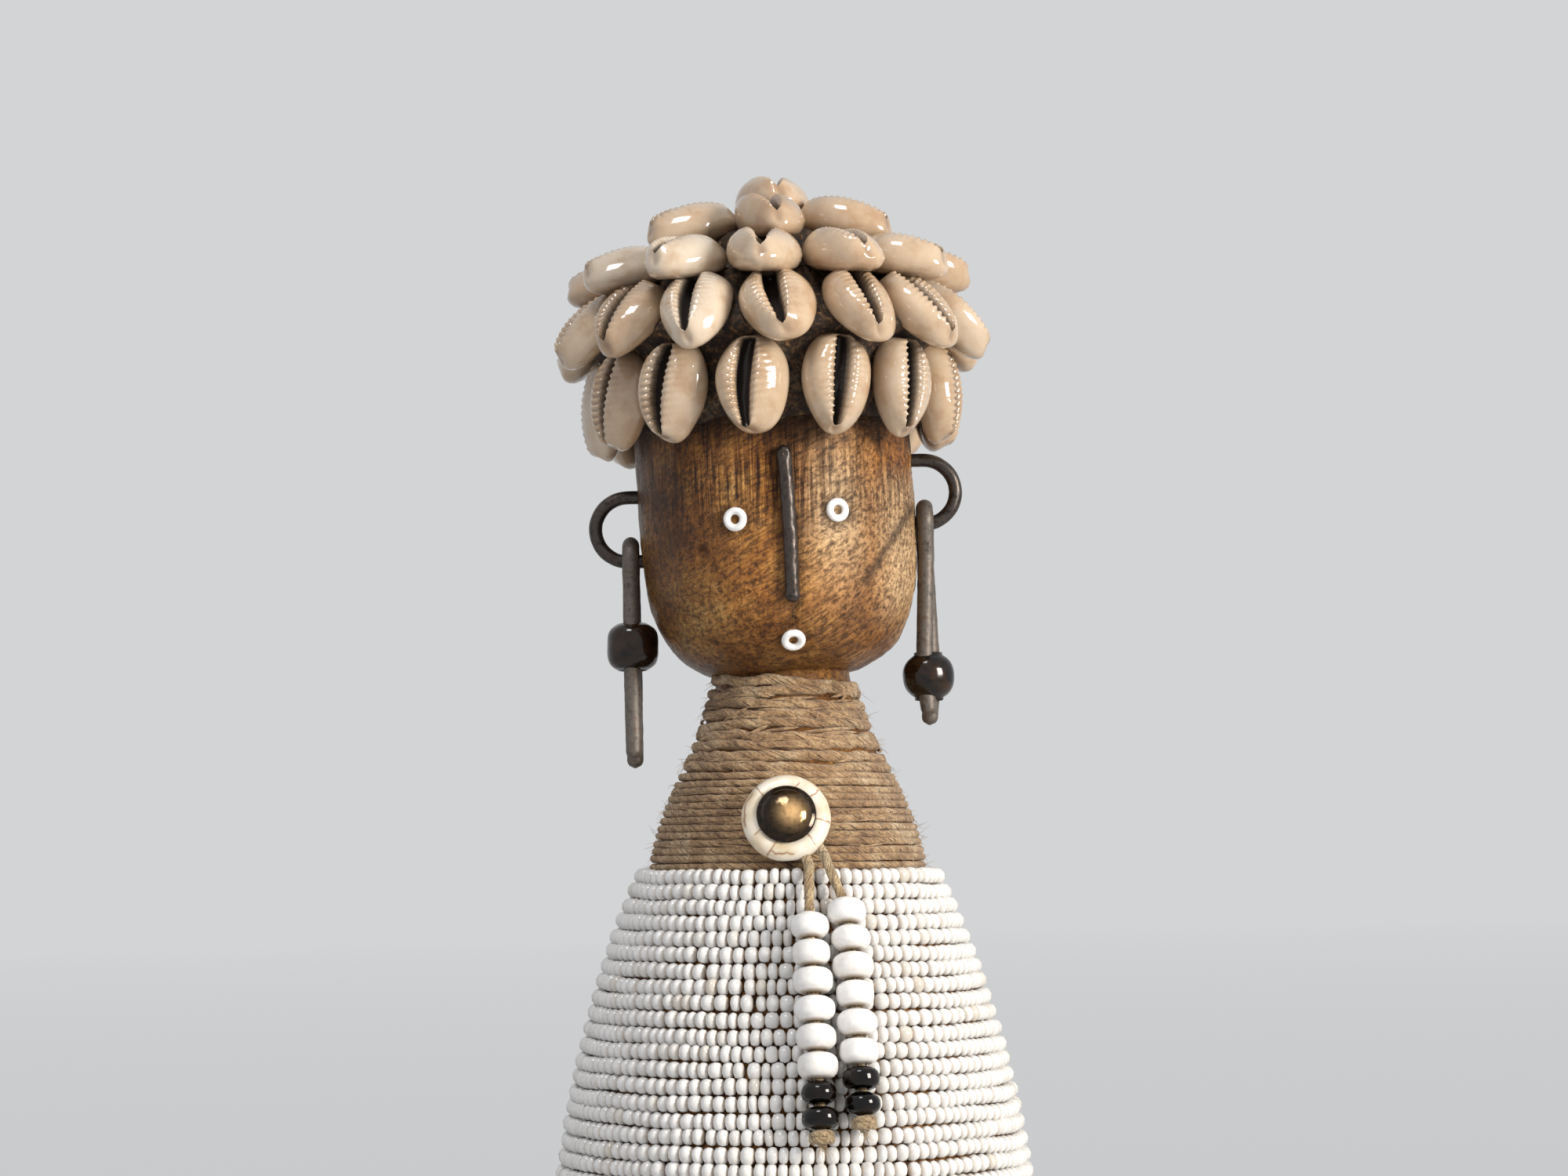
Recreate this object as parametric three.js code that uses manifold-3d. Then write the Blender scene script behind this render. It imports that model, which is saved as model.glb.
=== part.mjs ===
// A carved wooden doll with cowrie hair, iron earrings, a jute collar and a skirt of glass beads.
// Millimetres, +Z up, the face towards -Y, the origin at the middle of the flat base.
// Directions round the doll are angles from the front, growing towards +X.

import * as THREE from 'three';
import { mergeVertices } from 'three/addons/utils/BufferGeometryUtils.js';
import Module from 'manifold-3d';

const wasm = await Module();
wasm.setup();

// Clearance between two pieces that touch, and between turns of one cord
const fit = 0.3;
const turnGap = 0.45;

// Bell body with its bead skirt, measured over the beads
const skirtHeight = 133.6;
const skirtTopRadius = 27.5;
const hemRadius = 47.4;
const skirtFlare = 3.1;
const beadRowWidth = 2.52;
const beadRowDepth = 2.3;
const strandCount = 2;
const hemMargin = 0.6;

// Jute collar, measured over the cord: thick turns on the neck, thin turns on the shoulders
const collarHeight = 32.4;
const collarTopRadius = 13.8;
const collarBaseRadius = 25.6;
const collarSway = 0.05;
const neckTurns = 8;
const neckCordWidth = 1.6;
const neckCordDepth = 1.9;
const shoulderCordWidth = 1;
const shoulderCordDepth = 1.2;

// Head, an upright barrel of superellipse profile, tilted and turned a little on the neck
const headRadius = 25.7;
const chinDepth = 37;
const skullHeight = 29;
const headSquareness = 3.6;
const chinGap = 1;
const headShift = -0.85;
const headRoll = THREE.MathUtils.degToRad(2.5);
const headTurn = THREE.MathUtils.degToRad(4.1);

// Face, with heights from the head's widest level
const eyeLevelLeft = -9;
const eyeLevelRight = -8.4;
const eyeSpacing = 18.5;
const mouthLevel = -31.1;
const ringBeadDiameter = 4.4;
const ringBeadTube = 1.5;
const ringBeadSink = 0.6;
const noseTop = 3.6;
const noseBottom = -24.7;
const noseDiameter = 2.6;
const noseStand = 0.5;

// Ear loops of iron wire, with heights from the head's widest level
const earWire = 2.5;
const earLoopRadius = 6;
const earLoopReachLeft = 28.4;
const earLoopReachRight = 26.9;
const earLoopDepth = 5;
const earLevelLeft = -8.5;
const earLevelRight = -2.7;

// Earrings, folded wires with one bead each, measured down from the loop's lower bar
const earringWire = 3.1;
const earringGap = 0.4;
const earringPlaceLeft = 27.9;
const earringPlaceRight = 27;
const earringNarrowing = 6;
const earringDropLeft = 38.4;
const earringDropRight = 37.4;
const earringBeadDropLeft = 15.9;
const earringBeadDropRight = 28.4;
const earringBeadDiameter = 9.6;
const earringBeadLength = 9;

// Cowries, cut flat at the back, with their slit outwards
const cowrieLength = 18.6;
const cowrieWidth = 13.4;
const cowrieHeight = 6.6;
const cowrieArch = 0.3;
const cowrieSlitDepth = 1.6;

// Rows of hair: reach and level of the middle of a shell's flat back, its dip below the horizontal,
// and the bed of pitch that carries it, from bedOut to bedIn along the shell, then down by bedDrop.
const fringeRow = {
  name: 'cowrie_fringe', count: 13, start: -10.1, reach: 28.8, level: 14.2, dip: 86,
  bedOut: 5, bedIn: -10.5, bedDrop: 0, bedUndercut: 0,
};
const brimRow = {
  name: 'cowrie_brim', count: 14, start: -0.7, reach: 32, level: 26.4, dip: 45,
  bedOut: 2.6, bedIn: -10.4, bedDrop: 0, bedUndercut: 0,
};
const upperRow = {
  name: 'cowrie_upper', count: 12, start: -5, reach: 28.5, level: 35.7, dip: 10,
  bedOut: -4, bedIn: -11.5, bedDrop: 4.2, bedUndercut: 2.5,
};
const topRow = {
  name: 'cowrie_top', count: 6, start: -0.3, reach: 16, level: 44.9, dip: 12,
  bedOut: -1.5, bedIn: -9.5, bedDrop: 9, bedUndercut: 0,
};
const pitchCoreRadius = 22;
const crownPostRadius = 5.5;
const crownLevel = 50.7;
const crownTurn = -74;
const crownShift = 1.6;
const shellSink = 0.4;
const hairShift = -0.6;
const hairRoll = THREE.MathUtils.degToRad(1);

// Medallion on the front of the shoulders
const medallionRise = 6.6;
const medallionDiameter = 16;
const medallionBore = 6.4;
const medallionThickness = 3.6;
const buttonDiameter = 10.7;
const buttonRise = 2.6;

// Pendants, strings of beads that hang from under the medallion
const stringDiameter = 1.6;
const stringTopDiameter = 2.2;
const paleBeadCount = 6;
const paleBeadDiameter = 6.5;
const paleBeadLength = 4.8;
const blackBeadCount = 2;
const blackBeadDiameter = 5.6;
const blackBeadLength = 4.15;
const knotDiameter = 4.6;
const knotLength = 2.4;
const beadSpace = 0.12;
const pendants = [
  { side: 'left', topX: 3.8, beadX: 3.2, bottomX: 4.9, topRise: -1.7, firstBead: 12.3 },
  { side: 'right', topX: 6.4, beadX: 10.1, bottomX: 12.3, topRise: 0.2, firstBead: 12 },
];

// Facet counts
const windingSteps = 14;
const headFacets = 20;
const cowrieFacets = 10;

const beadRowPitch = beadRowWidth + turnGap;
const neckCordPitch = neckCordWidth + turnGap;
const shoulderCordPitch = shoulderCordWidth + turnGap;
const collarTop = skirtHeight + collarHeight;
const medallionLevel = skirtHeight + medallionRise;
const headCentre = collarTop + chinGap + chinDepth;

const materials = {
  wood: new THREE.MeshStandardMaterial({ color: '#7a5228', roughness: 0.5, metalness: 0 }),
  pitch: new THREE.MeshStandardMaterial({ color: '#2a1c14', roughness: 0.7, metalness: 0 }),
  cowrie: new THREE.MeshStandardMaterial({ color: '#d9c3a0', roughness: 0.2, metalness: 0 }),
  iron: new THREE.MeshStandardMaterial({ color: '#3a3634', roughness: 0.5, metalness: 0.8 }),
  paleGlass: new THREE.MeshStandardMaterial({ color: '#e6e0d4', roughness: 0.25, metalness: 0 }),
  darkGlass: new THREE.MeshStandardMaterial({ color: '#1c120c', roughness: 0.1, metalness: 0 }),
  jute: new THREE.MeshStandardMaterial({ color: '#a07c4c', roughness: 0.9, metalness: 0 }),
  bone: new THREE.MeshStandardMaterial({ color: '#e0d2b4', roughness: 0.35, metalness: 0 }),
  bronze: new THREE.MeshStandardMaterial({ color: '#4a3620', roughness: 0.3, metalness: 0.9 }),
};

const doll = new THREE.Group();
const head = new THREE.Group();
head.position.set(headShift, 0, headCentre);
head.rotation.set(0, -headRoll, headTurn);
doll.add(head);
const hair = new THREE.Group();
hair.position.set(hairShift, 0, headCentre);
hair.rotation.set(0, -hairRoll, headTurn);
doll.add(hair);
doll.updateMatrixWorld(true);

function addPiece(parent, name, geometry, material) {
  const mesh = new THREE.Mesh(geometry, material.clone());
  mesh.name = name;
  parent.add(mesh);
  return mesh;
}

// Closed solids for joins and cuts

function toSolid(geometry) {
  const bare = geometry.clone();
  bare.deleteAttribute('normal');
  bare.deleteAttribute('uv');
  const welded = mergeVertices(bare, 1e-4);
  const index = welded.index.array;
  const triVerts = [];
  for (let i = 0; i < index.length; i += 3) {
    const [a, b, c] = [index[i], index[i + 1], index[i + 2]];
    if (a !== b && b !== c && c !== a) triVerts.push(a, b, c);
  }
  return new wasm.Manifold(new wasm.Mesh({
    numProp: 3,
    vertProperties: new Float32Array(welded.attributes.position.array),
    triVerts: new Uint32Array(triVerts),
  }));
}

function toGeometry(solid) {
  const mesh = solid.getMesh();
  const geometry = new THREE.BufferGeometry();
  geometry.setAttribute('position', new THREE.BufferAttribute(new Float32Array(mesh.vertProperties), 3));
  geometry.setIndex(new THREE.BufferAttribute(new Uint32Array(mesh.triVerts), 1));
  geometry.computeVertexNormals();
  return geometry;
}

// Basic forms

// A turned solid about Z, from [radius, height] points that run upwards on the outside.
function turned(points, facets, firstCorner = 0) {
  const profile = points.map(([radius, height]) => new THREE.Vector2(radius, height));
  return new THREE.LatheGeometry(profile, facets, firstCorner).rotateX(Math.PI / 2);
}

// A barrel bead about Z, with a bore when one is given.
function barrelBead(diameter, length, bore, facets, rings) {
  const inner = bore / 2;
  const swell = diameter / 2 - inner;
  const points = [];
  for (let i = 0; i <= rings; i += 1) {
    const angle = Math.PI * (i / rings - 0.5);
    const bulge = Math.sqrt(Math.cos(angle) + 1e-9);
    points.push([i % rings ? inner + swell * bulge : inner, (length / 2) * Math.sin(angle)]);
  }
  if (inner > 0) points.push(points[0]);
  return turned(points, facets);
}

// A round wire along a curve.
function wire(points, diameter, sides, steps) {
  const section = new THREE.Shape();
  for (let i = 0; i < sides; i += 1) {
    const angle = (2 * Math.PI * i) / sides;
    const corner = [(diameter / 2) * Math.cos(angle), (diameter / 2) * Math.sin(angle)];
    if (i) section.lineTo(...corner);
    else section.moveTo(...corner);
  }
  section.closePath();
  const path = new THREE.CatmullRomCurve3(points, false, 'centripetal');
  return new THREE.ExtrudeGeometry(section, { steps, extrudePath: path, bevelEnabled: false });
}

// Outlines of the wound body, as outer radius at a height

function outerRadius(z) {
  if (z <= skirtHeight) {
    return hemRadius - (hemRadius - skirtTopRadius) * Math.max(z / skirtHeight, 0) ** skirtFlare;
  }
  const down = (collarTop - z) / collarHeight;
  const spread = down - collarSway * Math.sin(2 * Math.PI * down);
  return collarTopRadius + (collarBaseRadius - collarTopRadius) * spread;
}

// Slope of the outline, taken on the same side of the skirt's upper edge as the height.
function outerSlope(z) {
  const step = z > skirtHeight ? 0.01 : -0.01;
  return (outerRadius(z + step) - outerRadius(z)) / step;
}

// Unit direction out of the outline, as [radial, up].
function outward(z) {
  const slope = outerSlope(z);
  const size = Math.hypot(1, slope);
  return [1 / size, -slope / size];
}

// Radius of the wood under a winding of the given depth.
function coreRadius(z, depth) {
  return outerRadius(z) - (depth + fit) / outward(z)[0];
}

// Height reached from startZ after a length along the outline, downwards.
function heightAlong(startZ, length) {
  const steps = 400;
  let z = startZ;
  for (let i = 0; i < steps; i += 1) z -= (length / steps) * outward(z)[0];
  return z;
}

// Windings

// Corners of a cord's section as [out, down], seen along the winding.
function flatSection(width, depth) {
  const crown = 0.3 * width;
  return [[0, -width / 2], [depth, -crown], [depth, crown], [0, width / 2]];
}

function roundSection(width, depth) {
  const seat = 0.28 * width;
  return [[0, -seat], [depth / 2, -width / 2], [depth, -seat], [depth, seat], [depth / 2, width / 2], [0, seat]];
}

// One unbroken turn after turn of cord on the outline, from startZ downwards, starting at the back.
function winding(name, startZ, turns, pitch, section, depth, firstTurn, trim) {
  const rings = [];
  const firstStep = Math.round(firstTurn * windingSteps);
  const lastStep = Math.round((firstTurn + turns) * windingSteps);
  for (let step = firstStep; step <= lastStep; step += 1) {
    const angle = Math.PI + (2 * Math.PI * step) / windingSteps;
    const z = heightAlong(startZ, (pitch * step) / windingSteps);
    const [radial, up] = outward(z);
    rings.push(section.map(([out, down]) => {
      const r = outerRadius(z) - (depth - out) * radial + down * up;
      const level = z - (depth - out) * up - down * radial;
      return new THREE.Vector3(r * Math.sin(angle), -r * Math.cos(angle), level);
    }));
  }
  if (trim > 0) {
    const share = trim / rings[0][0].distanceTo(rings[1][0]);
    rings[0] = rings[0].map((corner, i) => corner.clone().lerp(rings[1][i], share));
  }
  console.log(`${name}: least gap between turns ${leastGap(rings).toFixed(2)} mm`);
  return loft(rings);
}

// Least distance between corners that lie more than half a turn apart along the cord.
function leastGap(rings) {
  let least = Infinity;
  for (let i = 0; i < rings.length; i += 1) {
    for (let j = i + windingSteps / 2 + 1; j < rings.length; j += 1) {
      for (const a of rings[i]) {
        for (const b of rings[j]) least = Math.min(least, a.distanceTo(b));
      }
    }
  }
  return least;
}

// A closed skin through rings of corners, with flat ends. Corners turn left seen from the far end.
function loft(rings) {
  const sides = rings[0].length;
  const positions = rings.flat().flatMap((corner) => corner.toArray());
  const index = [];
  for (let ring = 0; ring < rings.length - 1; ring += 1) {
    for (let side = 0; side < sides; side += 1) {
      const a = ring * sides + side;
      const b = ring * sides + ((side + 1) % sides);
      index.push(a, b, b + sides, a, b + sides, a + sides);
    }
  }
  const last = (rings.length - 1) * sides;
  for (let side = 1; side < sides - 1; side += 1) {
    index.push(0, side + 1, side);
    index.push(last, last + side, last + side + 1);
  }
  const geometry = new THREE.BufferGeometry();
  geometry.setAttribute('position', new THREE.Float32BufferAttribute(positions, 3));
  geometry.setIndex(index);
  geometry.computeVertexNormals();
  return geometry;
}

const skirtLength = (() => {
  let length = 0;
  const step = 0.25;
  for (let z = skirtHeight; z > hemMargin; z -= step) length += step / outward(z)[0];
  return length;
})();
const skirtRows = Math.floor((skirtLength - beadRowWidth) / beadRowPitch);
const strandRows = skirtRows / strandCount;
const skirtStart = skirtHeight - beadRowWidth / 2;
const neckStart = collarTop - neckCordWidth / 2;
const neckLength = neckCordPitch * neckTurns + (neckCordWidth + shoulderCordWidth) / 2 + turnGap;
const shoulderStart = heightAlong(neckStart, neckLength);
const shoulderSet = shoulderCordDepth * outward(shoulderStart)[1];
const shoulderRoom = shoulderStart - shoulderCordWidth / 2 - shoulderSet - fit - skirtHeight;
const shoulderTurns = Math.floor(shoulderRoom / outward(skirtHeight + fit)[0] / shoulderCordPitch);

// The head's outline: radius at a height from its widest level
function headOutline(level) {
  const reach = level > 0 ? skullHeight : chinDepth;
  const share = Math.min(Math.abs(level) / reach, 1);
  return headRadius * (1 - share ** headSquareness) ** (1 / headSquareness);
}

// Points of the head's profile from chin to crown, grown outwards by a clearance.
function headProfile(grow) {
  const rings = 12;
  const points = [];
  for (let i = 0; i <= rings; i += 1) {
    const angle = Math.PI * (i / rings - 0.5);
    const rise = Math.sign(angle) * Math.abs(Math.sin(angle)) ** (2 / headSquareness);
    const reach = (rise > 0 ? skullHeight : chinDepth) + grow;
    const radius = (headRadius + grow) * Math.max(Math.cos(angle), 0) ** (2 / headSquareness);
    points.push([i % rings ? radius : 0, reach * rise]);
  }
  return points;
}

// Frame on the head's face: Z out of the surface, the origin lifted off it.
function faceFrame(x, level, lift) {
  const radius = headOutline(level);
  const slope = (headOutline(level + 0.05) - headOutline(level - 0.05)) / 0.1;
  const angle = Math.asin(x / radius);
  const out = new THREE.Vector3(Math.sin(angle), -Math.cos(angle), -slope).normalize();
  const place = new THREE.Vector3(radius * Math.sin(angle), -radius * Math.cos(angle), level);
  const turn = new THREE.Quaternion().setFromUnitVectors(new THREE.Vector3(0, 0, 1), out);
  return new THREE.Matrix4().compose(place.addScaledVector(out, lift), turn, new THREE.Vector3(1, 1, 1));
}

const ringBeads = [
  { name: 'eye_bead_left', x: -eyeSpacing / 2, level: eyeLevelLeft },
  { name: 'eye_bead_right', x: eyeSpacing / 2, level: eyeLevelRight },
  { name: 'mouth_bead', x: 0, level: mouthLevel },
];
const ringBeadLift = ringBeadTube / 2 - ringBeadSink;

// The nose nail, a round-ended rod along the front of the face, grown by a clearance for its groove.
function noseRod(grow) {
  const radius = noseDiameter / 2 + grow;
  const middle = (noseTop + noseBottom) / 2;
  const top = new THREE.Vector3(0, -headOutline(noseTop), noseTop);
  const bottom = new THREE.Vector3(0, -headOutline(noseBottom), noseBottom);
  const axis = top.clone().sub(bottom);
  const half = axis.length() / 2 + grow;
  const bend = radius;
  const points = [];
  const arcSteps = 3;
  for (let i = 0; i <= arcSteps; i += 1) {
    const angle = (Math.PI / 2) * (i / arcSteps);
    points.push([i ? radius * Math.sin(angle) : 0, -half + bend * (1 - Math.cos(angle))]);
  }
  for (let i = arcSteps; i >= 0; i -= 1) points.push([points[i][0], -points[i][1]]);
  const turn = new THREE.Quaternion().setFromUnitVectors(new THREE.Vector3(0, 0, 1), axis.normalize());
  const place = new THREE.Vector3(0, -headOutline(middle) - noseStand, middle);
  return turned(points, 10).applyMatrix4(
    new THREE.Matrix4().compose(place, turn, new THREE.Vector3(1, 1, 1)));
}

// Ears, in the doll's own frame: side is -1 on the left and 1 on the right
const ears = [
  {
    side: -1, label: 'left', level: headCentre + earLevelLeft, reach: earLoopReachLeft,
    place: earringPlaceLeft, drop: earringDropLeft, beadDrop: earringBeadDropLeft,
  },
  {
    side: 1, label: 'right', level: headCentre + earLevelRight, reach: earLoopReachRight,
    place: earringPlaceRight, drop: earringDropRight, beadDrop: earringBeadDropRight,
  },
];

// Where a leg of an ear loop starts, inside the head at its own height.
function earLegStart(height) {
  return headOutline(height - headCentre) - earLoopDepth;
}

function earLoopPoints(ear) {
  const points = [];
  const lower = ear.level - earLoopRadius;
  const upper = ear.level + earLoopRadius;
  const start = Math.min(earLegStart(lower), earLegStart(upper));
  points.push(new THREE.Vector3(ear.side * start, 0, lower));
  points.push(new THREE.Vector3(ear.side * (start + ear.reach) / 2, 0, lower));
  const arcSteps = 8;
  for (let i = 0; i <= arcSteps; i += 1) {
    const angle = Math.PI * (i / arcSteps - 0.5);
    const reach = ear.reach + earLoopRadius * Math.cos(angle);
    points.push(new THREE.Vector3(ear.side * reach, 0, ear.level + earLoopRadius * Math.sin(angle)));
  }
  points.push(new THREE.Vector3(ear.side * (start + ear.reach) / 2, 0, upper));
  points.push(new THREE.Vector3(ear.side * start, 0, upper));
  return points;
}

// A hole for one leg of an ear loop, from inside the head to well outside it.
function earHole(ear, height) {
  const start = earLegStart(height) - 2 * fit - (headOutline(0) - headOutline(height - headCentre));
  const length = ear.reach - start;
  return new THREE.CylinderGeometry(earWire / 2 + fit, earWire / 2 + fit, length, 8)
    .rotateZ(Math.PI / 2)
    .translate(ear.side * (start + length / 2), 0, height);
}

// Carved figure: bell body and neck with corners in line with the windings, and the head on it

function carvedFigure() {
  const bodyPoints = [[0, 0]];
  const bodyRings = 9;
  for (let i = 0; i <= bodyRings; i += 1) {
    const z = (skirtHeight * i) / bodyRings;
    bodyPoints.push([coreRadius(z, beadRowDepth), z]);
  }
  const collarRings = 3;
  const shoulderTop = shoulderStart + shoulderCordWidth / 2 - shoulderSet;
  for (let i = 0; i <= collarRings; i += 1) {
    const z = skirtHeight + fit + ((shoulderTop - skirtHeight - fit) * i) / collarRings;
    bodyPoints.push([coreRadius(z, shoulderCordDepth), z]);
  }
  for (let i = 0; i <= collarRings; i += 1) {
    const z = shoulderTop + fit + ((collarTop - shoulderTop - fit) * i) / collarRings;
    bodyPoints.push([coreRadius(z, neckCordDepth), z]);
  }
  const neckTop = headCentre - chinDepth / 2;
  bodyPoints.push([coreRadius(collarTop, neckCordDepth), neckTop], [0, neckTop]);

  const headSolid = toSolid(turned(headProfile(0), headFacets).applyMatrix4(head.matrixWorld));
  let figure = toSolid(turned(bodyPoints, windingSteps)).add(headSolid);
  figure = figure.subtract(toSolid(noseRod(fit).applyMatrix4(head.matrixWorld)));
  for (const bead of ringBeads) {
    const depth = ringBeadSink + fit;
    const pocket = new THREE.CylinderGeometry(
      ringBeadDiameter / 2 + fit, ringBeadDiameter / 2 + fit, 2 * depth, 12);
    pocket.rotateX(Math.PI / 2);
    pocket.applyMatrix4(faceFrame(bead.x, bead.level, 0));
    figure = figure.subtract(toSolid(pocket.applyMatrix4(head.matrixWorld)));
  }
  for (const ear of ears) {
    for (const height of [ear.level - earLoopRadius, ear.level + earLoopRadius]) {
      figure = figure.subtract(toSolid(earHole(ear, height)));
    }
  }
  return toGeometry(figure);
}

addPiece(doll, 'carved_figure', carvedFigure(), materials.wood);

// Windings on the body

const beadSection = flatSection(beadRowWidth, beadRowDepth);
addPiece(doll, 'neck_cord', winding('neck_cord', neckStart, neckTurns, neckCordPitch,
  roundSection(neckCordWidth, neckCordDepth), neckCordDepth, 0, 0), materials.jute);
addPiece(doll, 'shoulder_cord', winding('shoulder_cord', shoulderStart, shoulderTurns, shoulderCordPitch,
  flatSection(shoulderCordWidth, shoulderCordDepth), shoulderCordDepth, 0, 0), materials.jute);
['bead_strand_upper', 'bead_strand_lower'].forEach((name, i) => {
  const first = Math.round(i * strandRows);
  const rows = Math.round((i + 1) * strandRows) - first;
  addPiece(doll, name, winding(name, skirtStart, rows, beadRowPitch,
    beadSection, beadRowDepth, first, i ? fit : 0), materials.paleGlass);
});

// Face

for (const bead of ringBeads) {
  const ring = new THREE.TorusGeometry((ringBeadDiameter - ringBeadTube) / 2, ringBeadTube / 2, 5, 12);
  ring.applyMatrix4(faceFrame(bead.x, bead.level, ringBeadLift));
  addPiece(head, bead.name, ring, materials.paleGlass);
}
addPiece(head, 'nose_nail', noseRod(0), materials.iron);

// Ear loops and earrings

// A wire folded over the loop's lower bar, both legs drawn together below it, in the plane across the bar.
function earringPoints(drop) {
  const bend = (earWire + earringWire) / 2 + fit;
  const leg = (earringWire + earringGap) / 2;
  const side = [[leg, -drop], [leg, -(drop + earringNarrowing) / 2], [leg, -earringNarrowing]];
  const arcSteps = 6;
  const points = side.map(([y, z]) => new THREE.Vector3(0, y, z));
  for (let i = 0; i <= arcSteps; i += 1) {
    const angle = Math.PI * (i / arcSteps);
    points.push(new THREE.Vector3(0, bend * Math.cos(angle), bend * Math.sin(angle)));
  }
  return points.concat(side.reverse().map(([y, z]) => new THREE.Vector3(0, -y, z)));
}

for (const ear of ears) {
  addPiece(doll, `ear_loop_${ear.label}`, wire(earLoopPoints(ear), earWire, 8, 16), materials.iron);
  const earring = new THREE.Group();
  earring.position.set(ear.side * ear.place, 0, ear.level - earLoopRadius);
  doll.add(earring);
  addPiece(earring, `earring_wire_${ear.label}`,
    wire(earringPoints(ear.drop), earringWire, 6, 30), materials.iron);
  const bore = 2 * earringWire + earringGap + 2 * fit;
  const bead = addPiece(earring, `earring_bead_${ear.label}`,
    barrelBead(earringBeadDiameter, earringBeadLength, bore, 14, 6), materials.darkGlass);
  bead.position.z = -ear.beadDrop;
}

// Cowrie hair in its cap of pitch

// A cowrie on its flat back: X to the narrow end, Z out of the slit. Rings run from the back to the slit's floor.
function cowrie() {
  const rings = [
    { along: 0.93, across: 0.9, height: 0 },
    { along: 1, across: 1, height: 0.34 * cowrieHeight },
    { along: 0.8, across: 0.72, height: 0.86 * cowrieHeight },
    { along: 0.66, across: 0.13, height: cowrieHeight },
    { along: 0.6, across: 0.07, height: cowrieHeight - cowrieSlitDepth },
  ];
  return loft(rings.map((ring) => {
    const corners = [];
    for (let i = 0; i < cowrieFacets; i += 1) {
      const angle = (2 * Math.PI * i) / cowrieFacets;
      const taper = 1 - 0.14 * Math.cos(angle);
      const share = ring.along * Math.cos(angle);
      corners.push(new THREE.Vector3(
        (cowrieLength / 2) * share,
        (cowrieWidth / 2) * ring.across * taper * Math.sin(angle),
        ring.height * (1 - cowrieArch * share * share)));
    }
    return corners;
  }));
}

// Frame of a shell in a row: X to its outer tip, Z out of its slit, lifted off its bed.
function cowrieFrame(row, index, lift) {
  const angle = THREE.MathUtils.degToRad(row.start + (360 * index) / row.count);
  const dip = THREE.MathUtils.degToRad(row.dip);
  const out = new THREE.Vector3(Math.sin(angle), -Math.cos(angle), 0);
  const up = new THREE.Vector3(0, 0, 1);
  const tip = out.clone().multiplyScalar(Math.cos(dip)).addScaledVector(up, -Math.sin(dip));
  const face = out.clone().multiplyScalar(Math.sin(dip)).addScaledVector(up, Math.cos(dip));
  const place = out.clone().multiplyScalar(row.reach).addScaledVector(up, row.level);
  return new THREE.Matrix4()
    .makeBasis(tip, face.clone().cross(tip), face)
    .setPosition(place.addScaledVector(face, lift));
}

// One tier of pitch with a flat for each shell of the row.
function pitchTier(row) {
  const dip = THREE.MathUtils.degToRad(row.dip);
  const corner = 1 / Math.cos(Math.PI / row.count);
  const along = (t) => [(row.reach + t * Math.cos(dip)) * corner, row.level - t * Math.sin(dip)];
  const outer = along(row.bedOut);
  const inner = along(row.bedIn);
  const points = [[0, outer[1] - row.bedDrop]];
  if (row.bedDrop > 0) points.push([outer[0] - row.bedUndercut, outer[1] - row.bedDrop]);
  points.push(outer, inner, [0, inner[1]]);
  const start = THREE.MathUtils.degToRad(row.start) + Math.PI / row.count;
  return toSolid(turned(points, row.count, start));
}

function pitchCap() {
  const fringeTop = fringeRow.level - fringeRow.bedIn * Math.sin(THREE.MathUtils.degToRad(fringeRow.dip));
  let cap = toSolid(turned([
    [0, fringeRow.level], [pitchCoreRadius, fringeRow.level],
    [pitchCoreRadius, fringeTop + upperRow.bedDrop + upperRow.bedDrop], [0, upperRow.level + fit],
  ], headFacets));
  for (const row of [fringeRow, brimRow, upperRow, topRow]) cap = cap.add(pitchTier(row));
  cap = cap.add(toSolid(turned([
    [0, topRow.level - topRow.bedDrop], [crownPostRadius, topRow.level - topRow.bedDrop],
    [crownPostRadius, crownLevel], [0, crownLevel],
  ], headFacets)));
  const skull = turned(headProfile(fit), headFacets).applyMatrix4(head.matrixWorld)
    .applyMatrix4(hair.matrixWorld.clone().invert());
  cap = cap.subtract(toSolid(skull));
  for (let i = 0; i < topRow.count; i += 1) {
    cap = cap.add(toSolid(cowrie().applyMatrix4(cowrieFrame(topRow, i, -shellSink))));
  }
  const crown = cowrie().rotateZ(THREE.MathUtils.degToRad(crownTurn))
    .translate(crownShift, 0, crownLevel - shellSink);
  return toGeometry(cap.add(toSolid(crown)));
}

addPiece(hair, 'pitch_cap', pitchCap(), materials.pitch);
for (const row of [fringeRow, brimRow, upperRow]) {
  for (let i = 0; i < row.count; i += 1) {
    const shell = addPiece(hair, `${row.name}_${String(i + 1).padStart(2, '0')}`, cowrie(), materials.cowrie);
    shell.applyMatrix4(cowrieFrame(row, i, fit));
  }
}

// Medallion, standing square to the slope of the shoulders

const medallion = new THREE.Group();
const [medallionOut, medallionUp] = outward(medallionLevel);
medallion.position.set(0, -outerRadius(medallionLevel) - fit * medallionOut, medallionLevel + fit * medallionUp);
medallion.quaternion.setFromUnitVectors(
  new THREE.Vector3(0, 0, 1), new THREE.Vector3(0, -medallionOut, medallionUp));
doll.add(medallion);

function medallionRing() {
  const inner = medallionBore / 2;
  const width = medallionDiameter / 2 - inner;
  const sides = 8;
  const points = [];
  for (let i = 0; i <= sides; i += 1) {
    const angle = (2 * Math.PI * (i % sides)) / sides - Math.PI / 2 + Math.PI / sides;
    const half = Math.cos(Math.PI / sides);
    points.push([
      inner + (width / 2) * (1 + Math.cos(angle) / half),
      (medallionThickness / 2) * (1 + Math.sin(angle) / half),
    ]);
  }
  return turned(points, 20);
}

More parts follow.
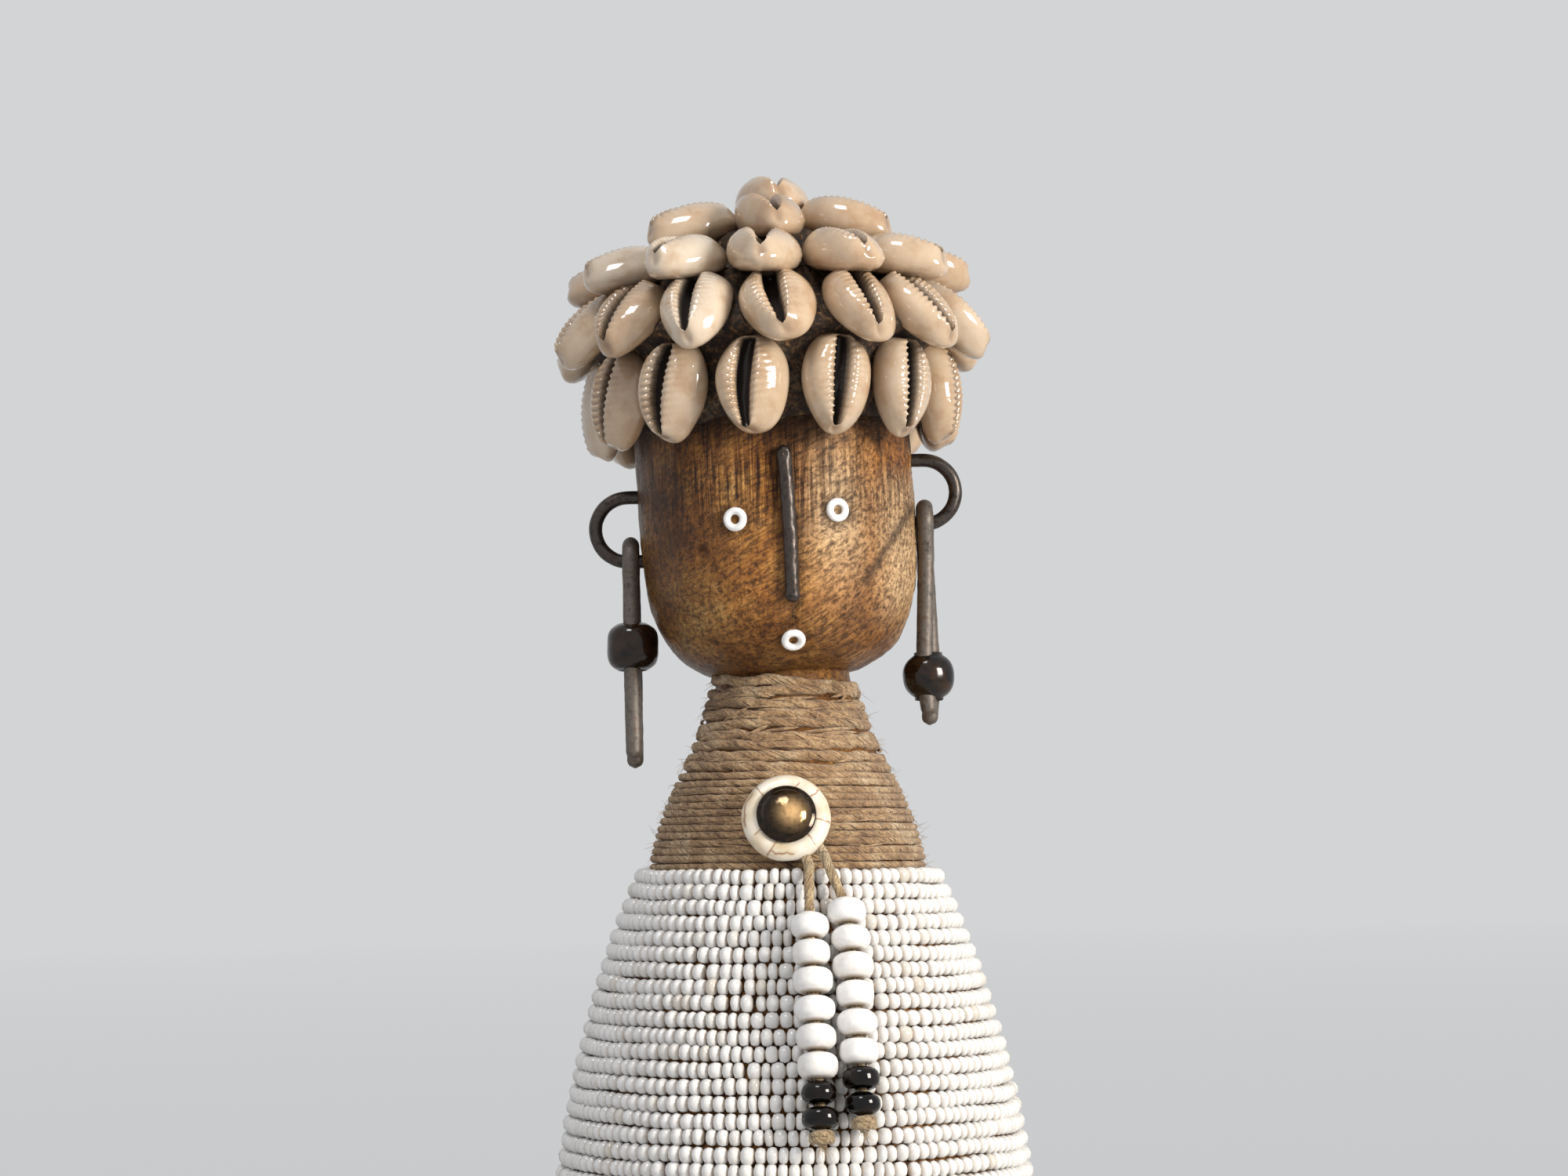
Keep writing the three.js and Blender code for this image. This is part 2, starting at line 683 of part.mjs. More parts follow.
// A domed button with a shank that fills the ring's bore.
function medallionButton() {
  const shank = medallionBore / 2 - fit;
  const seat = medallionThickness + fit;
  const points = [[0, fit], [shank, fit], [shank, seat]];
  const arcSteps = 4;
  for (let i = 0; i <= arcSteps; i += 1) {
    const angle = (Math.PI / 2) * (i / arcSteps);
    const radius = (buttonDiameter / 2) * Math.cos(angle);
    points.push([i < arcSteps ? radius : 0, seat + buttonRise * Math.sin(angle)]);
  }
  return turned(points, 20);
}

addPiece(medallion, 'medallion_ring', medallionRing(), materials.bone);
addPiece(medallion, 'medallion_button', medallionButton(), materials.bronze);

// Pendants, each a string with its beads and end knot

// Lengths along the string of each bead and the knot, from the top.
function strung(pendant) {
  const beads = [];
  let along = pendant.firstBead - paleBeadLength / 2;
  const string = (count, diameter, length) => {
    for (let i = 0; i < count; i += 1) {
      beads.push({ along: along + length / 2, diameter, length });
      along += length + beadSpace;
    }
  };
  string(paleBeadCount, paleBeadDiameter, paleBeadLength);
  string(blackBeadCount, blackBeadDiameter, blackBeadLength);
  string(1, knotDiameter, knotLength);
  return { beads, length: along };
}

// The string lies down the skirt's front, held off it by its beads.
function pendantPath(pendant, length) {
  const topStand = stringTopDiameter / 2 + fit;
  const beadStand = paleBeadDiameter / 2 + fit;
  const points = [];
  const steps = 10;
  for (let i = 0; i <= steps; i += 1) {
    const share = i / steps;
    const z = heightAlong(skirtHeight + Math.min(pendant.topRise, 0), length * share);
    const settle = Math.min((length * share) / pendant.firstBead, 1);
    const stand = topStand + (beadStand - topStand) * settle;
    const [radial, up] = outward(z);
    const r = outerRadius(z) + stand * radial;
    const drift = (pendant.bottomX - pendant.beadX) * share;
    const x = pendant.topX + (pendant.beadX - pendant.topX) * settle + drift;
    const lift = i ? 0 : Math.max(pendant.topRise, 0);
    points.push(new THREE.Vector3(x, -Math.sqrt(r * r - x * x), z + stand * up + lift));
  }
  return points;
}

// Radii along a pendant: a round top, bare string, then every bead in turn and a short tail.
function pendantRadii(beads, length) {
  const string = stringDiameter / 2;
  const top = stringTopDiameter / 2;
  const radii = [[-0.9 * top, 0.44 * top], [-0.5 * top, 0.87 * top], [0, top], [0.6 * top, 0.8 * top]];
  radii.push([top, string]);
  for (const bead of beads) {
    const half = bead.length / 2;
    const radius = bead.diameter / 2;
    radii.push([bead.along - half - beadSpace / 2, string]);
    radii.push([bead.along - half, 0.62 * radius], [bead.along - 0.45 * half, radius]);
    radii.push([bead.along + 0.45 * half, radius], [bead.along + half, 0.62 * radius]);
  }
  radii.push([length, string], [length + stringDiameter, string]);
  return radii;
}

// A round skin of changing radius along a path.
function beadedString(path, radii, sides) {
  const pathLength = path.getLength();
  return loft(radii.map(([along, radius]) => {
    const share = THREE.MathUtils.clamp(along / pathLength, 0, 1);
    const tangent = path.getTangentAt(share);
    const middle = path.getPointAt(share).addScaledVector(tangent, along - share * pathLength);
    const across = new THREE.Vector3(1, 0, 0).addScaledVector(tangent, -tangent.x).normalize();
    const out = tangent.clone().cross(across);
    const corners = [];
    for (let i = 0; i < sides; i += 1) {
      const angle = (2 * Math.PI * i) / sides;
      corners.push(middle.clone()
        .addScaledVector(across, radius * Math.cos(angle))
        .addScaledVector(out, radius * Math.sin(angle)));
    }
    return corners;
  }));
}

for (const pendant of pendants) {
  const { beads, length } = strung(pendant);
  const points = pendantPath(pendant, length);
  const path = new THREE.CatmullRomCurve3(points, false, 'centripetal');
  addPiece(doll, `pendant_${pendant.side}`,
    beadedString(path, pendantRadii(beads, length), 7), materials.paleGlass);
  console.log(`pendant_${pendant.side}: hangs from ${points[0].toArray().map((v) => v.toFixed(2)).join(', ')}`);
}

export default doll;
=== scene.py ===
"""Looks of a carved doll with cowrie hair, iron earrings, a jute collar and a skirt of glass beads."""

import logging
import random
from abc import ABC, abstractmethod
from dataclasses import dataclass, field
from enum import Enum
from functools import partial
from math import asin, atan2, copysign, cos, degrees, dist, exp, hypot, pi, radians, sin, sqrt, tau
from typing import Any, Callable, Iterable, Sequence

import bmesh
import bpy
import numpy as np
from bpy.types import Material, Mesh, Node, NodeSocket, NodeTree, Object
from mathutils import Matrix, Vector, noise


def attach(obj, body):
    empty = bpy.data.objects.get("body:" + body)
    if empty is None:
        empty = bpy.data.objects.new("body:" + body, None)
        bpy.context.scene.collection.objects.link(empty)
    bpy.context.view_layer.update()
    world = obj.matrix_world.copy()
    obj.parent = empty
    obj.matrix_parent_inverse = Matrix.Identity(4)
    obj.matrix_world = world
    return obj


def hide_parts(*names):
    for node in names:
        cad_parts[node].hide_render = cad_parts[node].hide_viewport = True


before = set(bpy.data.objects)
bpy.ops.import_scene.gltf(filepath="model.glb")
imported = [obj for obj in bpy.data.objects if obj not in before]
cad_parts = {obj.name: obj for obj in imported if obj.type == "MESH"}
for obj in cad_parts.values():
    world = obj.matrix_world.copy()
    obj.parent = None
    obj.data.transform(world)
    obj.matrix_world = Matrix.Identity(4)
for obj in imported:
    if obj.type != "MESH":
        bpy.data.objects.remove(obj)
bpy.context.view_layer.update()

LOG = logging.getLogger("doll")
MM = 0.001
FIGURE = "figure"
SEED = 41
Faces = list[tuple[int, ...]]
Form = tuple[np.ndarray, Faces]
AddNode = Callable[..., Node]
Sockets = dict[str, Node]
# The output that a node stands for, where it isn't the first
MAIN_OUTPUT = {"ShaderNodeMix": 2, "ShaderNodeAttribute": 2}


# Helpers for colours, nodes and meshes


def linear(hex_colour: str) -> tuple[float, float, float, float]:
    """Turns an sRGB hex colour into linear RGBA.

    Args:
        hex_colour: six hex digits after a hash sign.

    Returns:
        Linear red, green and blue, with an alpha of 1.
    """
    parts = [int(hex_colour[i:i + 2], 16) / 255 for i in (1, 3, 5)]
    red, green, blue = (c / 12.92 if c <= 0.04045 else ((c + 0.055) / 1.055) ** 2.4 for c in parts)
    return (red, green, blue, 1.0)


def per_metre(size_mm: float) -> float:
    """Returns the texture scale at which one feature of a pattern measures size_mm."""
    return 1.0 / (size_mm * MM)


def feed(tree: NodeTree, node: Node, inputs: dict[Any, Any]) -> None:
    """Sets or links a node's sockets.

    Args:
        tree: the node tree that it is in.
        node: the node.
        inputs: socket name or number to a value, or to the node or socket that feeds it.
    """
    for key, value in inputs.items():
        if isinstance(value, Node):
            value = value.outputs[MAIN_OUTPUT.get(value.bl_idname, 0)]
        if isinstance(value, NodeSocket):
            tree.links.new(value, node.inputs[key])
        else:
            node.inputs[key].default_value = value


def add_node(tree: NodeTree, kind: str, inputs: dict[Any, Any] | None = None,
             stops: Sequence[tuple[float, str]] = (), **settings: Any) -> Node:
    """Adds one node with its settings and links.

    Args:
        tree: the node tree that gets it.
        kind: the name of its class after "ShaderNode".
        inputs: socket name or number to a value, or to the node or socket that feeds it.
        stops: positions and hex colours, on a node with a colour ramp.
        **settings: the node's own properties.

    Returns:
        The new node.
    """
    node = tree.nodes.new("ShaderNode" + kind)
    for name, value in settings.items():
        setattr(node, name, value)
    feed(tree, node, inputs or {})
    if stops:
        elements = node.color_ramp.elements
        while len(elements) < len(stops):
            elements.new(1.0)
        for element, (position, colour) in zip(elements, stops):
            element.position = position
            element.color = linear(colour)
    return node


def make_piece(name: str, points: np.ndarray, faces: Iterable[Sequence[int]], material: Material,
               attributes: dict[str, np.ndarray] | None = None) -> Object:
    """Makes a smooth mesh object at the origin.

    Args:
        name: the piece's name.
        points: vertex places in millimetres.
        faces: vertex numbers of each face.
        material: its finish.
        attributes: one number, or three, per vertex for each named attribute.

    Returns:
        The new object.
    """
    mesh = bpy.data.meshes.new(name)
    mesh.from_pydata((np.asarray(points) * MM).tolist(), [], [tuple(face) for face in faces])
    for key, values in (attributes or {}).items():
        values = np.asarray(values, dtype=np.float32)
        kind, item = ("FLOAT", "value") if values.ndim == 1 else ("FLOAT_VECTOR", "vector")
        mesh.attributes.new(key, kind, "POINT").data.foreach_set(item, values.ravel())
    mesh.validate()
    mesh.shade_smooth()
    mesh.materials.append(material)
    piece = bpy.data.objects.new(name, mesh)
    bpy.context.collection.objects.link(piece)
    return piece


def place_piece(piece: Object, body: str, slot: str, *nodes: str) -> Object:
    """Rides a piece on a body and hides the CAD nodes that it stands for.

    Args:
        piece: the piece.
        body: the CAD body that carries it.
        slot: the record's material slot; not used.
        *nodes: the CAD nodes that it replaces.

    Returns:
        The same piece.
    """
    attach(piece, body)
    if nodes:
        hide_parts(*nodes)
    LOG.info("%s rides on %s, %d faces", piece.name, body, len(piece.data.polygons))
    return piece


def grid_faces(rings: int, sides: int, start: int = 0) -> list[tuple[int, int, int, int]]:
    """Returns the quads of a tube whose rings follow one another, its last side joined to its first.

    Args:
        rings: number of rings.
        sides: corners of a ring.
        start: index of the first vertex.

    Returns:
        The quads.
    """
    quads = []
    for ring in range(rings - 1):
        for side in range(sides):
            following = (side + 1) % sides
            low = start + ring * sides
            quads.append((low + side, low + following, low + sides + following, low + sides + side))
    return quads


def tube(path: Sequence[Sequence[float]], radius: Callable[[int, float], float], sides: int,
         across: Vector = Vector((1, 0, 0))) -> Form:
    """Sweeps a round section along a path, with closed ends.

    Args:
        path: points of the centreline.
        radius: radius at a ring's number and an angle round the section.
        sides: corners of the section.
        across: the direction that the section's first corner is turned to at the start.

    Returns:
        Vertices and faces of the tube.
    """
    centres = [Vector(p) for p in path]
    points = []
    side_way = across.copy()
    for ring, centre in enumerate(centres):
        ahead = centres[min(ring + 1, len(centres) - 1)]
        behind = centres[max(ring - 1, 0)]
        tangent = (ahead - behind).normalized()
        side_way = (side_way - tangent * side_way.dot(tangent)).normalized()
        out = tangent.cross(side_way)
        for corner in range(sides):
            angle = tau * corner / sides
            reach = radius(ring, angle)
            points.append(centre + (side_way * cos(angle) + out * sin(angle)) * reach)
    faces: Faces = list(grid_faces(len(centres), sides))
    last = (len(centres) - 1) * sides
    faces.append(tuple(reversed(range(sides))))
    faces.append(tuple(range(last, last + sides)))
    return np.array([tuple(p) for p in points]), faces


class MeshStack:
    """Gathers many small shapes into the vertices, faces and attributes of one mesh."""

    def __init__(self) -> None:
        """Starts empty."""
        self.points: list[np.ndarray] = []
        self.faces: Faces = []
        self.values: dict[str, list[np.ndarray]] = {}
        self.count = 0

    def add(self, points: np.ndarray, faces: Iterable[Sequence[int]], **values: Any) -> None:
        """Adds one shape.

        Args:
            points: its vertices.
            faces: its faces, counted from its own first vertex.
            **values: a number, or one or three per vertex, for each attribute.
        """
        self.points.append(np.asarray(points))
        self.faces.extend(tuple(self.count + i for i in face) for face in faces)
        for key, value in values.items():
            shape = (len(points), 3) if np.ndim(value) == 2 else (len(points),)
            self.values.setdefault(key, []).append(np.broadcast_to(value, shape))
        self.count += len(points)

    def piece(self, name: str, material: Material) -> Object:
        """Returns everything gathered as one piece."""
        joined = {key: np.concatenate(parts) for key, parts in self.values.items()}
        return make_piece(name, np.concatenate(self.points), self.faces, material, joined)


def unit(value: float) -> float:
    """Returns a value kept within 0 and 1."""
    return max(0.0, min(1.0, value))


def lumps(point: Sequence[float], size_mm: float, depth: int = 3) -> float:
    """Returns soft noise of about -1 to 1 at a point, with lumps of size_mm."""
    return noise.fractal(Vector(point) / size_mm, 0.9, 2.0, depth)


# Finishes


@dataclass(frozen=True)
class Finish:
    """A surface: what it is made of and how it was made."""

    name: str
    roughness: float
    metallic: float = 0.0
    ior: float = 1.5
    coat: float = 0.0
    coat_roughness: float = 0.12
    sheen: float = 0.0

    def material(self) -> Material:
        """Returns the finish as a new material.

        Returns:
            The material.
        """
        made = bpy.data.materials.new(self.name)
        made.use_nodes = True
        tree = made.node_tree
        shader = tree.nodes["Principled BSDF"]
        feed(tree, shader, {"Roughness": self.roughness, "Metallic": self.metallic, "Coat Weight": self.coat,
                            "Coat Roughness": self.coat_roughness, "Sheen Weight": self.sheen})
        if not self.metallic:
            feed(tree, shader, {"IOR": self.ior})
        add = partial(add_node, tree)
        feed(tree, shader, self.dress(add, add("TexCoord").outputs["Object"]))
        return made

    def dress(self, add: AddNode, place: NodeSocket) -> Sockets:
        """Adds the finish's own pattern.

        Args:
            add: adds one node to the material.
            place: object coordinates.

        Returns:
            What feeds each linked socket of the shader.
        """
        raise NotImplementedError


@dataclass(frozen=True)
class CarvedWood(Finish):
    """Oiled hardwood, carved with a knife and worn by hands: upright grain, stains, painted shade and sheen.
    """

    grain_mm: float = 0.62
    grain_length_mm: float = 18.0
    tool_mm: float = 0.7
    tool_length_mm: float = 3.6
    blotch_mm: float = 13.0
    mottle_mm: float = 1.1

    def dress(self, add: AddNode, place: NodeSocket) -> Sockets:
        """Adds grain, slanting tool marks, stains with painted shade, a painted sheen, and pores.

        Args:
            add: adds one node to the material.
            place: object coordinates.

        Returns:
            What feeds each shader socket.
        """
        stretch = add("Mapping", {
            "Vector": place, "Scale": (1, 1, self.grain_length_mm / self.grain_mm)}, vector_type="TEXTURE")
        grain = add("TexNoise", {"Vector": stretch, "Scale": per_metre(self.grain_mm),
                                 "Detail": 5.0, "Roughness": 0.65})
        slant = add("Mapping", {
            "Vector": place, "Rotation": (0, radians(62), 0),
            "Scale": (1, 1, self.tool_length_mm / self.tool_mm)}, vector_type="TEXTURE")
        tool = add("TexNoise", {
            "Vector": slant, "Scale": per_metre(self.tool_mm), "Detail": 4.0, "Roughness": 0.7})
        blotch = add("TexNoise", {
            "Vector": place, "Scale": per_metre(self.blotch_mm), "Detail": 5.0, "Roughness": 0.62})
        mottle = add("TexNoise", {
            "Vector": place, "Scale": per_metre(self.mottle_mm), "Detail": 5.0, "Roughness": 0.75})
        body = add("ValToRGB", {"Fac": blotch}, stops=(
            (0.32, "#8C5824"), (0.48, "#BB7E39"), (0.60, "#D69C52"), (0.74, "#EDC27C")))
        streak = add("ValToRGB", {"Fac": grain}, stops=(
            (0.40, "#4E3018"), (0.49, "#C8B9A5"), (0.58, "#FFFFFF")))
        speck = add("ValToRGB", {"Fac": mottle}, stops=(
            (0.39, "#53351B"), (0.48, "#E2D9CD"), (0.6, "#FFFFFF")))
        scored = add("ValToRGB", {"Fac": tool}, stops=(
            (0.41, "#4C3119"), (0.49, "#D6CCBF"), (0.58, "#FFFFFF")))
        # Painted highlight: pale colour where the key light's sheen falls on the right cheek and jaw.
        worn = add("Attribute", attribute_name="worn")
        colour = add("Mix", {0: worn, 6: body, 7: linear("#F5D8AE")}, data_type="RGBA")
        upright = add("Attribute", attribute_name="upright")
        for marks, amount in ((streak, upright), (speck, 0.7), (scored, 0.7)):
            colour = add("Mix", {0: amount, 6: colour, 7: marks}, data_type="RGBA", blend_type="MULTIPLY")
        # Stains and cracks, painted shade on the core, left side and chin, and pitch with painted shadow
        # under the hair.
        stain = add("Attribute", attribute_name="stain")
        stained_and_shaded = add("Mix", {0: stain, 6: colour, 7: linear("#2A180A")}, data_type="RGBA")
        rough = add("MapRange", {
            "Value": mottle, "From Min": 0.3, "From Max": 0.7,
            "To Min": self.roughness + 0.14, "To Max": self.roughness - 0.1})
        grooves = add("Math", {0: grain, 1: upright}, operation="MULTIPLY")
        furrows = add("Math", {0: grooves, 1: tool}, operation="ADD")
        bumps = add("Math", {0: furrows, 1: mottle}, operation="ADD")
        bump = add("Bump", {"Height": bumps, "Strength": 1.0, "Distance": 0.5 * MM})
        return {"Base Color": stained_and_shaded, "Roughness": rough, "Normal": bump}


@dataclass(frozen=True)
class Pitch(Finish):
    """Black-brown resin pressed on by hand: dull lumps, with pale smears of old glue."""

    lump_mm: float = 1.2
    smear_mm: float = 4.0

    def dress(self, add: AddNode, place: NodeSocket) -> Sockets:
        """Adds lumps and smears.

        Args:
            add: adds one node to the material.
            place: object coordinates.

        Returns:
            What feeds each shader socket.
        """
        lump = add("TexNoise", {
            "Vector": place, "Scale": per_metre(self.lump_mm), "Detail": 6.0, "Roughness": 0.65})
        smear = add("TexNoise", {
            "Vector": place, "Scale": per_metre(self.smear_mm), "Detail": 7.0, "Roughness": 0.7})
        base = add("ValToRGB", {"Fac": lump}, stops=(
            (0.34, "#0C0704"), (0.48, "#25170C"), (0.58, "#4C331B"), (0.70, "#8A6A42")))
        amount = add("ValToRGB", {"Fac": smear}, stops=((0.57, "#000000"), (0.64, "#6E6E6E")))
        colour = add("Mix", {0: amount, 6: base, 7: linear("#B5A284")}, data_type="RGBA")
        bump = add("Bump", {"Height": lump, "Strength": 0.9, "Distance": 0.7 * MM})
        return {"Base Color": colour, "Normal": bump}


@dataclass(frozen=True)
class CowrieShell(Finish):
    """Cowrie shell, naturally glazed: cream with tan clouds, pale teeth, painted shade in the slit and
    grooves, very glossy.
    """

    cloud_mm: float = 5.0
    scuff_mm: float = 1.2

    def dress(self, add: AddNode, place: NodeSocket) -> Sockets:
        """Adds clouds, painted shade in the slit and between the teeth, and each shell's own tint.

        Args:
            add: adds one node to the material.
            place: object coordinates.

        Returns:
            What feeds each shader socket.
        """
        cloud = add("TexNoise", {
            "Vector": place, "Scale": per_metre(self.cloud_mm), "Detail": 4.0, "Roughness": 0.6})
        scuff = add("TexNoise", {
            "Vector": place, "Scale": per_metre(self.scuff_mm), "Detail": 5.0, "Roughness": 0.7})
        tint = add("Attribute", attribute_name="tint")
        groove = add("Attribute", attribute_name="groove")
        edge = add("Attribute", attribute_name="edge")
        own = add("ValToRGB", {"Fac": tint}, stops=(
            (0.0, "#B99F84"), (0.35, "#C9B39A"), (0.65, "#C1A98E"), (1.0, "#D2C3B0")))
        clouded = add("ValToRGB", {"Fac": cloud}, stops=(
            (0.34, "#D3B899"), (0.5, "#F4ECE2"), (0.66, "#FFFFFF")))
        base = add("Mix", {0: 0.6, 6: own, 7: clouded}, data_type="RGBA", blend_type="MULTIPLY")
        # Browner round the cut back, along the canals at the slit's ends, at the inner end and on the rolled
        # right lip.
        browned = add("Mix", {0: edge, 6: base, 7: linear("#5E3F22")}, data_type="RGBA")
        # Painted shade: near black deep in the slit, brown in the grooves between the teeth.
        slit = add("Mix", {0: groove, 6: browned, 7: linear("#1B0E07")}, data_type="RGBA")
        rough = add("MapRange", {
            "Value": scuff, "From Min": 0.35, "From Max": 0.75,
            "To Min": self.roughness, "To Max": self.roughness + 0.1})
        dull = add("Math", {0: rough, 1: groove}, operation="MAXIMUM")
        bump = add("Bump", {"Height": scuff, "Strength": 0.07, "Distance": 0.2 * MM})
        return {"Base Color": slit, "Roughness": dull, "Normal": bump}


@dataclass(frozen=True)
class ForgedIron(Finish):
    """Hand-drawn iron wire: dark scale, rubbed grey in places, with brown rust."""

    scale_mm: float = 1.5
    dark: str = "#38332F"
    light: str = "#6C645D"
    rust: str = "#554638"

    def dress(self, add: AddNode, place: NodeSocket) -> Sockets:
        """Adds rubbed and rusty places.

        Args:
            add: adds one node to the material.
            place: object coordinates.

        Returns:
            What feeds each shader socket.
        """
        worn = add("TexNoise", {
            "Vector": place, "Scale": per_metre(self.scale_mm), "Detail": 6.0, "Roughness": 0.7})
        colour = add("ValToRGB", {"Fac": worn}, stops=(
            (0.3, self.dark), (0.5, self.light), (0.66, self.rust), (0.8, self.light)))
        bump = add("Bump", {"Height": worn, "Strength": 0.4, "Distance": 0.15 * MM})
        return {"Base Color": colour, "Normal": bump}


@dataclass(frozen=True)
class BeadGlass(Finish):
    """Milky pressed glass: each bead its own white or warm grey, tan dust where beads meet."""

    cloud_mm: float = 0.9
    light: str = "#E8E7E6"
    middle: str = "#DFDEDC"
    dark: str = "#D2CBC0"
    dust: str = "#BE9C70"

    def dress(self, add: AddNode, place: NodeSocket) -> Sockets:
        """Adds the tint of each bead, clouds in the glass and dust.

        Args:
            add: adds one node to the material.
            place: object coordinates.

        Returns:
            What feeds each shader socket.
        """
        tint = add("Attribute", attribute_name="tint")
        dust = add("Attribute", attribute_name="dust")
        cloud = add("TexNoise", {
            "Vector": place, "Scale": per_metre(self.cloud_mm), "Detail": 3.0, "Roughness": 0.6})
        own = add("ValToRGB", {"Fac": tint}, stops=(
            (0.0, self.light), (0.62, self.middle), (1.0, self.dark)))
        clouded = add("ValToRGB", {"Fac": cloud}, stops=((0.3, "#ECE9E4"), (0.6, "#FFFFFF")))
        base = add("Mix", {0: 0.6, 6: own, 7: clouded}, data_type="RGBA", blend_type="MULTIPLY")
        colour = add("Mix", {0: dust, 6: base, 7: linear(self.dust)}, data_type="RGBA")
        bump = add("Bump", {"Height": cloud, "Strength": 0.15, "Distance": 0.1 * MM})
        return {"Base Color": colour, "Normal": bump}


@dataclass(frozen=True)
class DarkGlass(Finish):
    """Wound glass, almost black, with a bronze glow under the gloss and scratches from wear."""

    swirl_mm: float = 5.0
    deep: str = "#0B0705"
    glow: str = "#2E1C0E"

    def dress(self, add: AddNode, place: NodeSocket) -> Sockets:
        """Adds swirls of glow.

        Args:
            add: adds one node to the material.
            place: object coordinates.

        Returns:
            What feeds each shader socket.
        """
        swirl = add("TexNoise", {
            "Vector": place, "Scale": per_metre(self.swirl_mm), "Detail": 4.0, "Distortion": 1.2})
        colour = add("ValToRGB", {"Fac": swirl}, stops=((0.42, self.deep), (0.64, self.glow)))
        rough = add("MapRange", {
            "Value": swirl, "From Min": 0.3, "From Max": 0.7,
            "To Min": self.roughness, "To Max": self.roughness + 0.06})
        return {"Base Color": colour, "Roughness": rough}


@dataclass(frozen=True)
class JuteFibre(Finish):
    """Spun jute: dull tan strands with paler and darker fibres, and painted shade in the hollows between the
    plies.
    """

    fibre_mm: float = 0.24
    fuzz_mm: float = 0.55
    shade_mm: float = 5.0
    dark: str = "#B59168"
    middle: str = "#DAB78B"
    light: str = "#F2DCB8"

    def dress(self, add: AddNode, place: NodeSocket) -> Sockets:
        """Adds fibres, shades of colour, and painted shade in the hollows between the plies.

        Args:
            add: adds one node to the material.
            place: object coordinates.

        Returns:
            What feeds each shader socket.
        """
        strand = add("Attribute", attribute_name="strand")
        fibre = add("TexNoise", {
            "Vector": strand.outputs["Vector"], "Scale": 1 / self.fibre_mm, "Detail": 4.0, "Roughness": 0.7})
        shade = add("TexNoise", {"Vector": place, "Scale": per_metre(self.shade_mm), "Detail": 3.0})
        hollow = add("Attribute", attribute_name="hollow")
        fuzz = add("TexNoise", {
            "Vector": place, "Scale": per_metre(self.fuzz_mm), "Detail": 5.0, "Roughness": 0.75})
        base = add("ValToRGB", {"Fac": shade}, stops=(
            (0.3, self.dark), (0.5, self.middle), (0.72, self.light)))
        hairs = add("ValToRGB", {"Fac": fuzz}, stops=(
            (0.38, "#5A432A"), (0.48, "#E3D9CA"), (0.58, "#FFFFFF")))
        strands = add("ValToRGB", {"Fac": fibre}, stops=(
            (0.37, "#6A5339"), (0.5, "#E9E1D5"), (0.61, "#FFFFFF")))
        body = add("Mix", {0: 1.0, 6: base, 7: strands}, data_type="RGBA", blend_type="MULTIPLY")
        felted = add("Mix", {0: 0.6, 6: body, 7: hairs}, data_type="RGBA", blend_type="MULTIPLY")
        # Painted shade in the hollows between the plies.
        colour = add("Mix", {0: hollow, 6: felted, 7: linear("#4A341E")}, data_type="RGBA")
        nap = add("Math", {0: fibre, 1: fuzz}, operation="ADD")
        bump = add("Bump", {"Height": nap, "Strength": 1.0, "Distance": 0.4 * MM})
        return {"Base Color": colour, "Normal": bump}


@dataclass(frozen=True)
class CrackedBone(Finish):
    """Polished bone: warm ivory with fine brown cracks across the ring and yellowed clouds."""

    cloud_mm: float = 4.0

    def dress(self, add: AddNode, place: NodeSocket) -> Sockets:
        """Adds cracks and clouds.

        Args:
            add: adds one node to the material.
            place: object coordinates.

        Returns:
            What feeds each shader socket.
        """
        cloud = add("TexNoise", {"Vector": place, "Scale": per_metre(self.cloud_mm), "Detail": 4.0})
        crack = add("Attribute", attribute_name="crack")
        base = add("ValToRGB", {"Fac": cloud}, stops=((0.3, "#C9B592"), (0.5, "#DDD1BC"), (0.7, "#EAE3D6")))
        colour = add("Mix", {0: crack, 6: base, 7: linear("#8C5A2C")}, data_type="RGBA")
        bump = add("Bump", {"Height": crack, "Strength": 0.3, "Distance": 0.2 * MM}, invert=True)
        return {"Base Color": colour, "Normal": bump}


@dataclass(frozen=True)
class AgedBronze(Finish):
    """Cast bronze with a dark skin, rubbed to gold in the middle, with a painted golden highlight there."""

    pit_mm: float = 0.8

    def dress(self, add: AddNode, place: NodeSocket) -> Sockets:
        """Adds pits, and the rubbed middle with its painted golden highlight.

        Args:
            add: adds one node to the material.
            place: object coordinates.

        Returns:
            What feeds each shader socket.
        """
        pit = add("TexNoise", {
            "Vector": place, "Scale": per_metre(self.pit_mm), "Detail": 5.0, "Roughness": 0.7})
        rubbed = add("Attribute", attribute_name="rubbed")
        skin = add("ValToRGB", {"Fac": pit}, stops=((0.35, "#120D09"), (0.6, "#2E2216"), (0.8, "#5E4629")))
        speckle = add("ValToRGB", {"Fac": pit}, stops=((0.3, "#B4B4B4"), (0.5, "#FFFFFF")))
        glow = add("Math", {0: rubbed, 1: speckle}, operation="MULTIPLY")
        # Gold where the dome is rubbed: wear, with a painted highlight from the key light.
        colour = add("Mix", {0: glow, 6: skin, 7: linear("#FFCE90")}, data_type="RGBA")
        bump = add("Bump", {"Height": pit, "Strength": 0.12, "Distance": 0.2 * MM})
        return {"Base Color": colour, "Normal": bump}


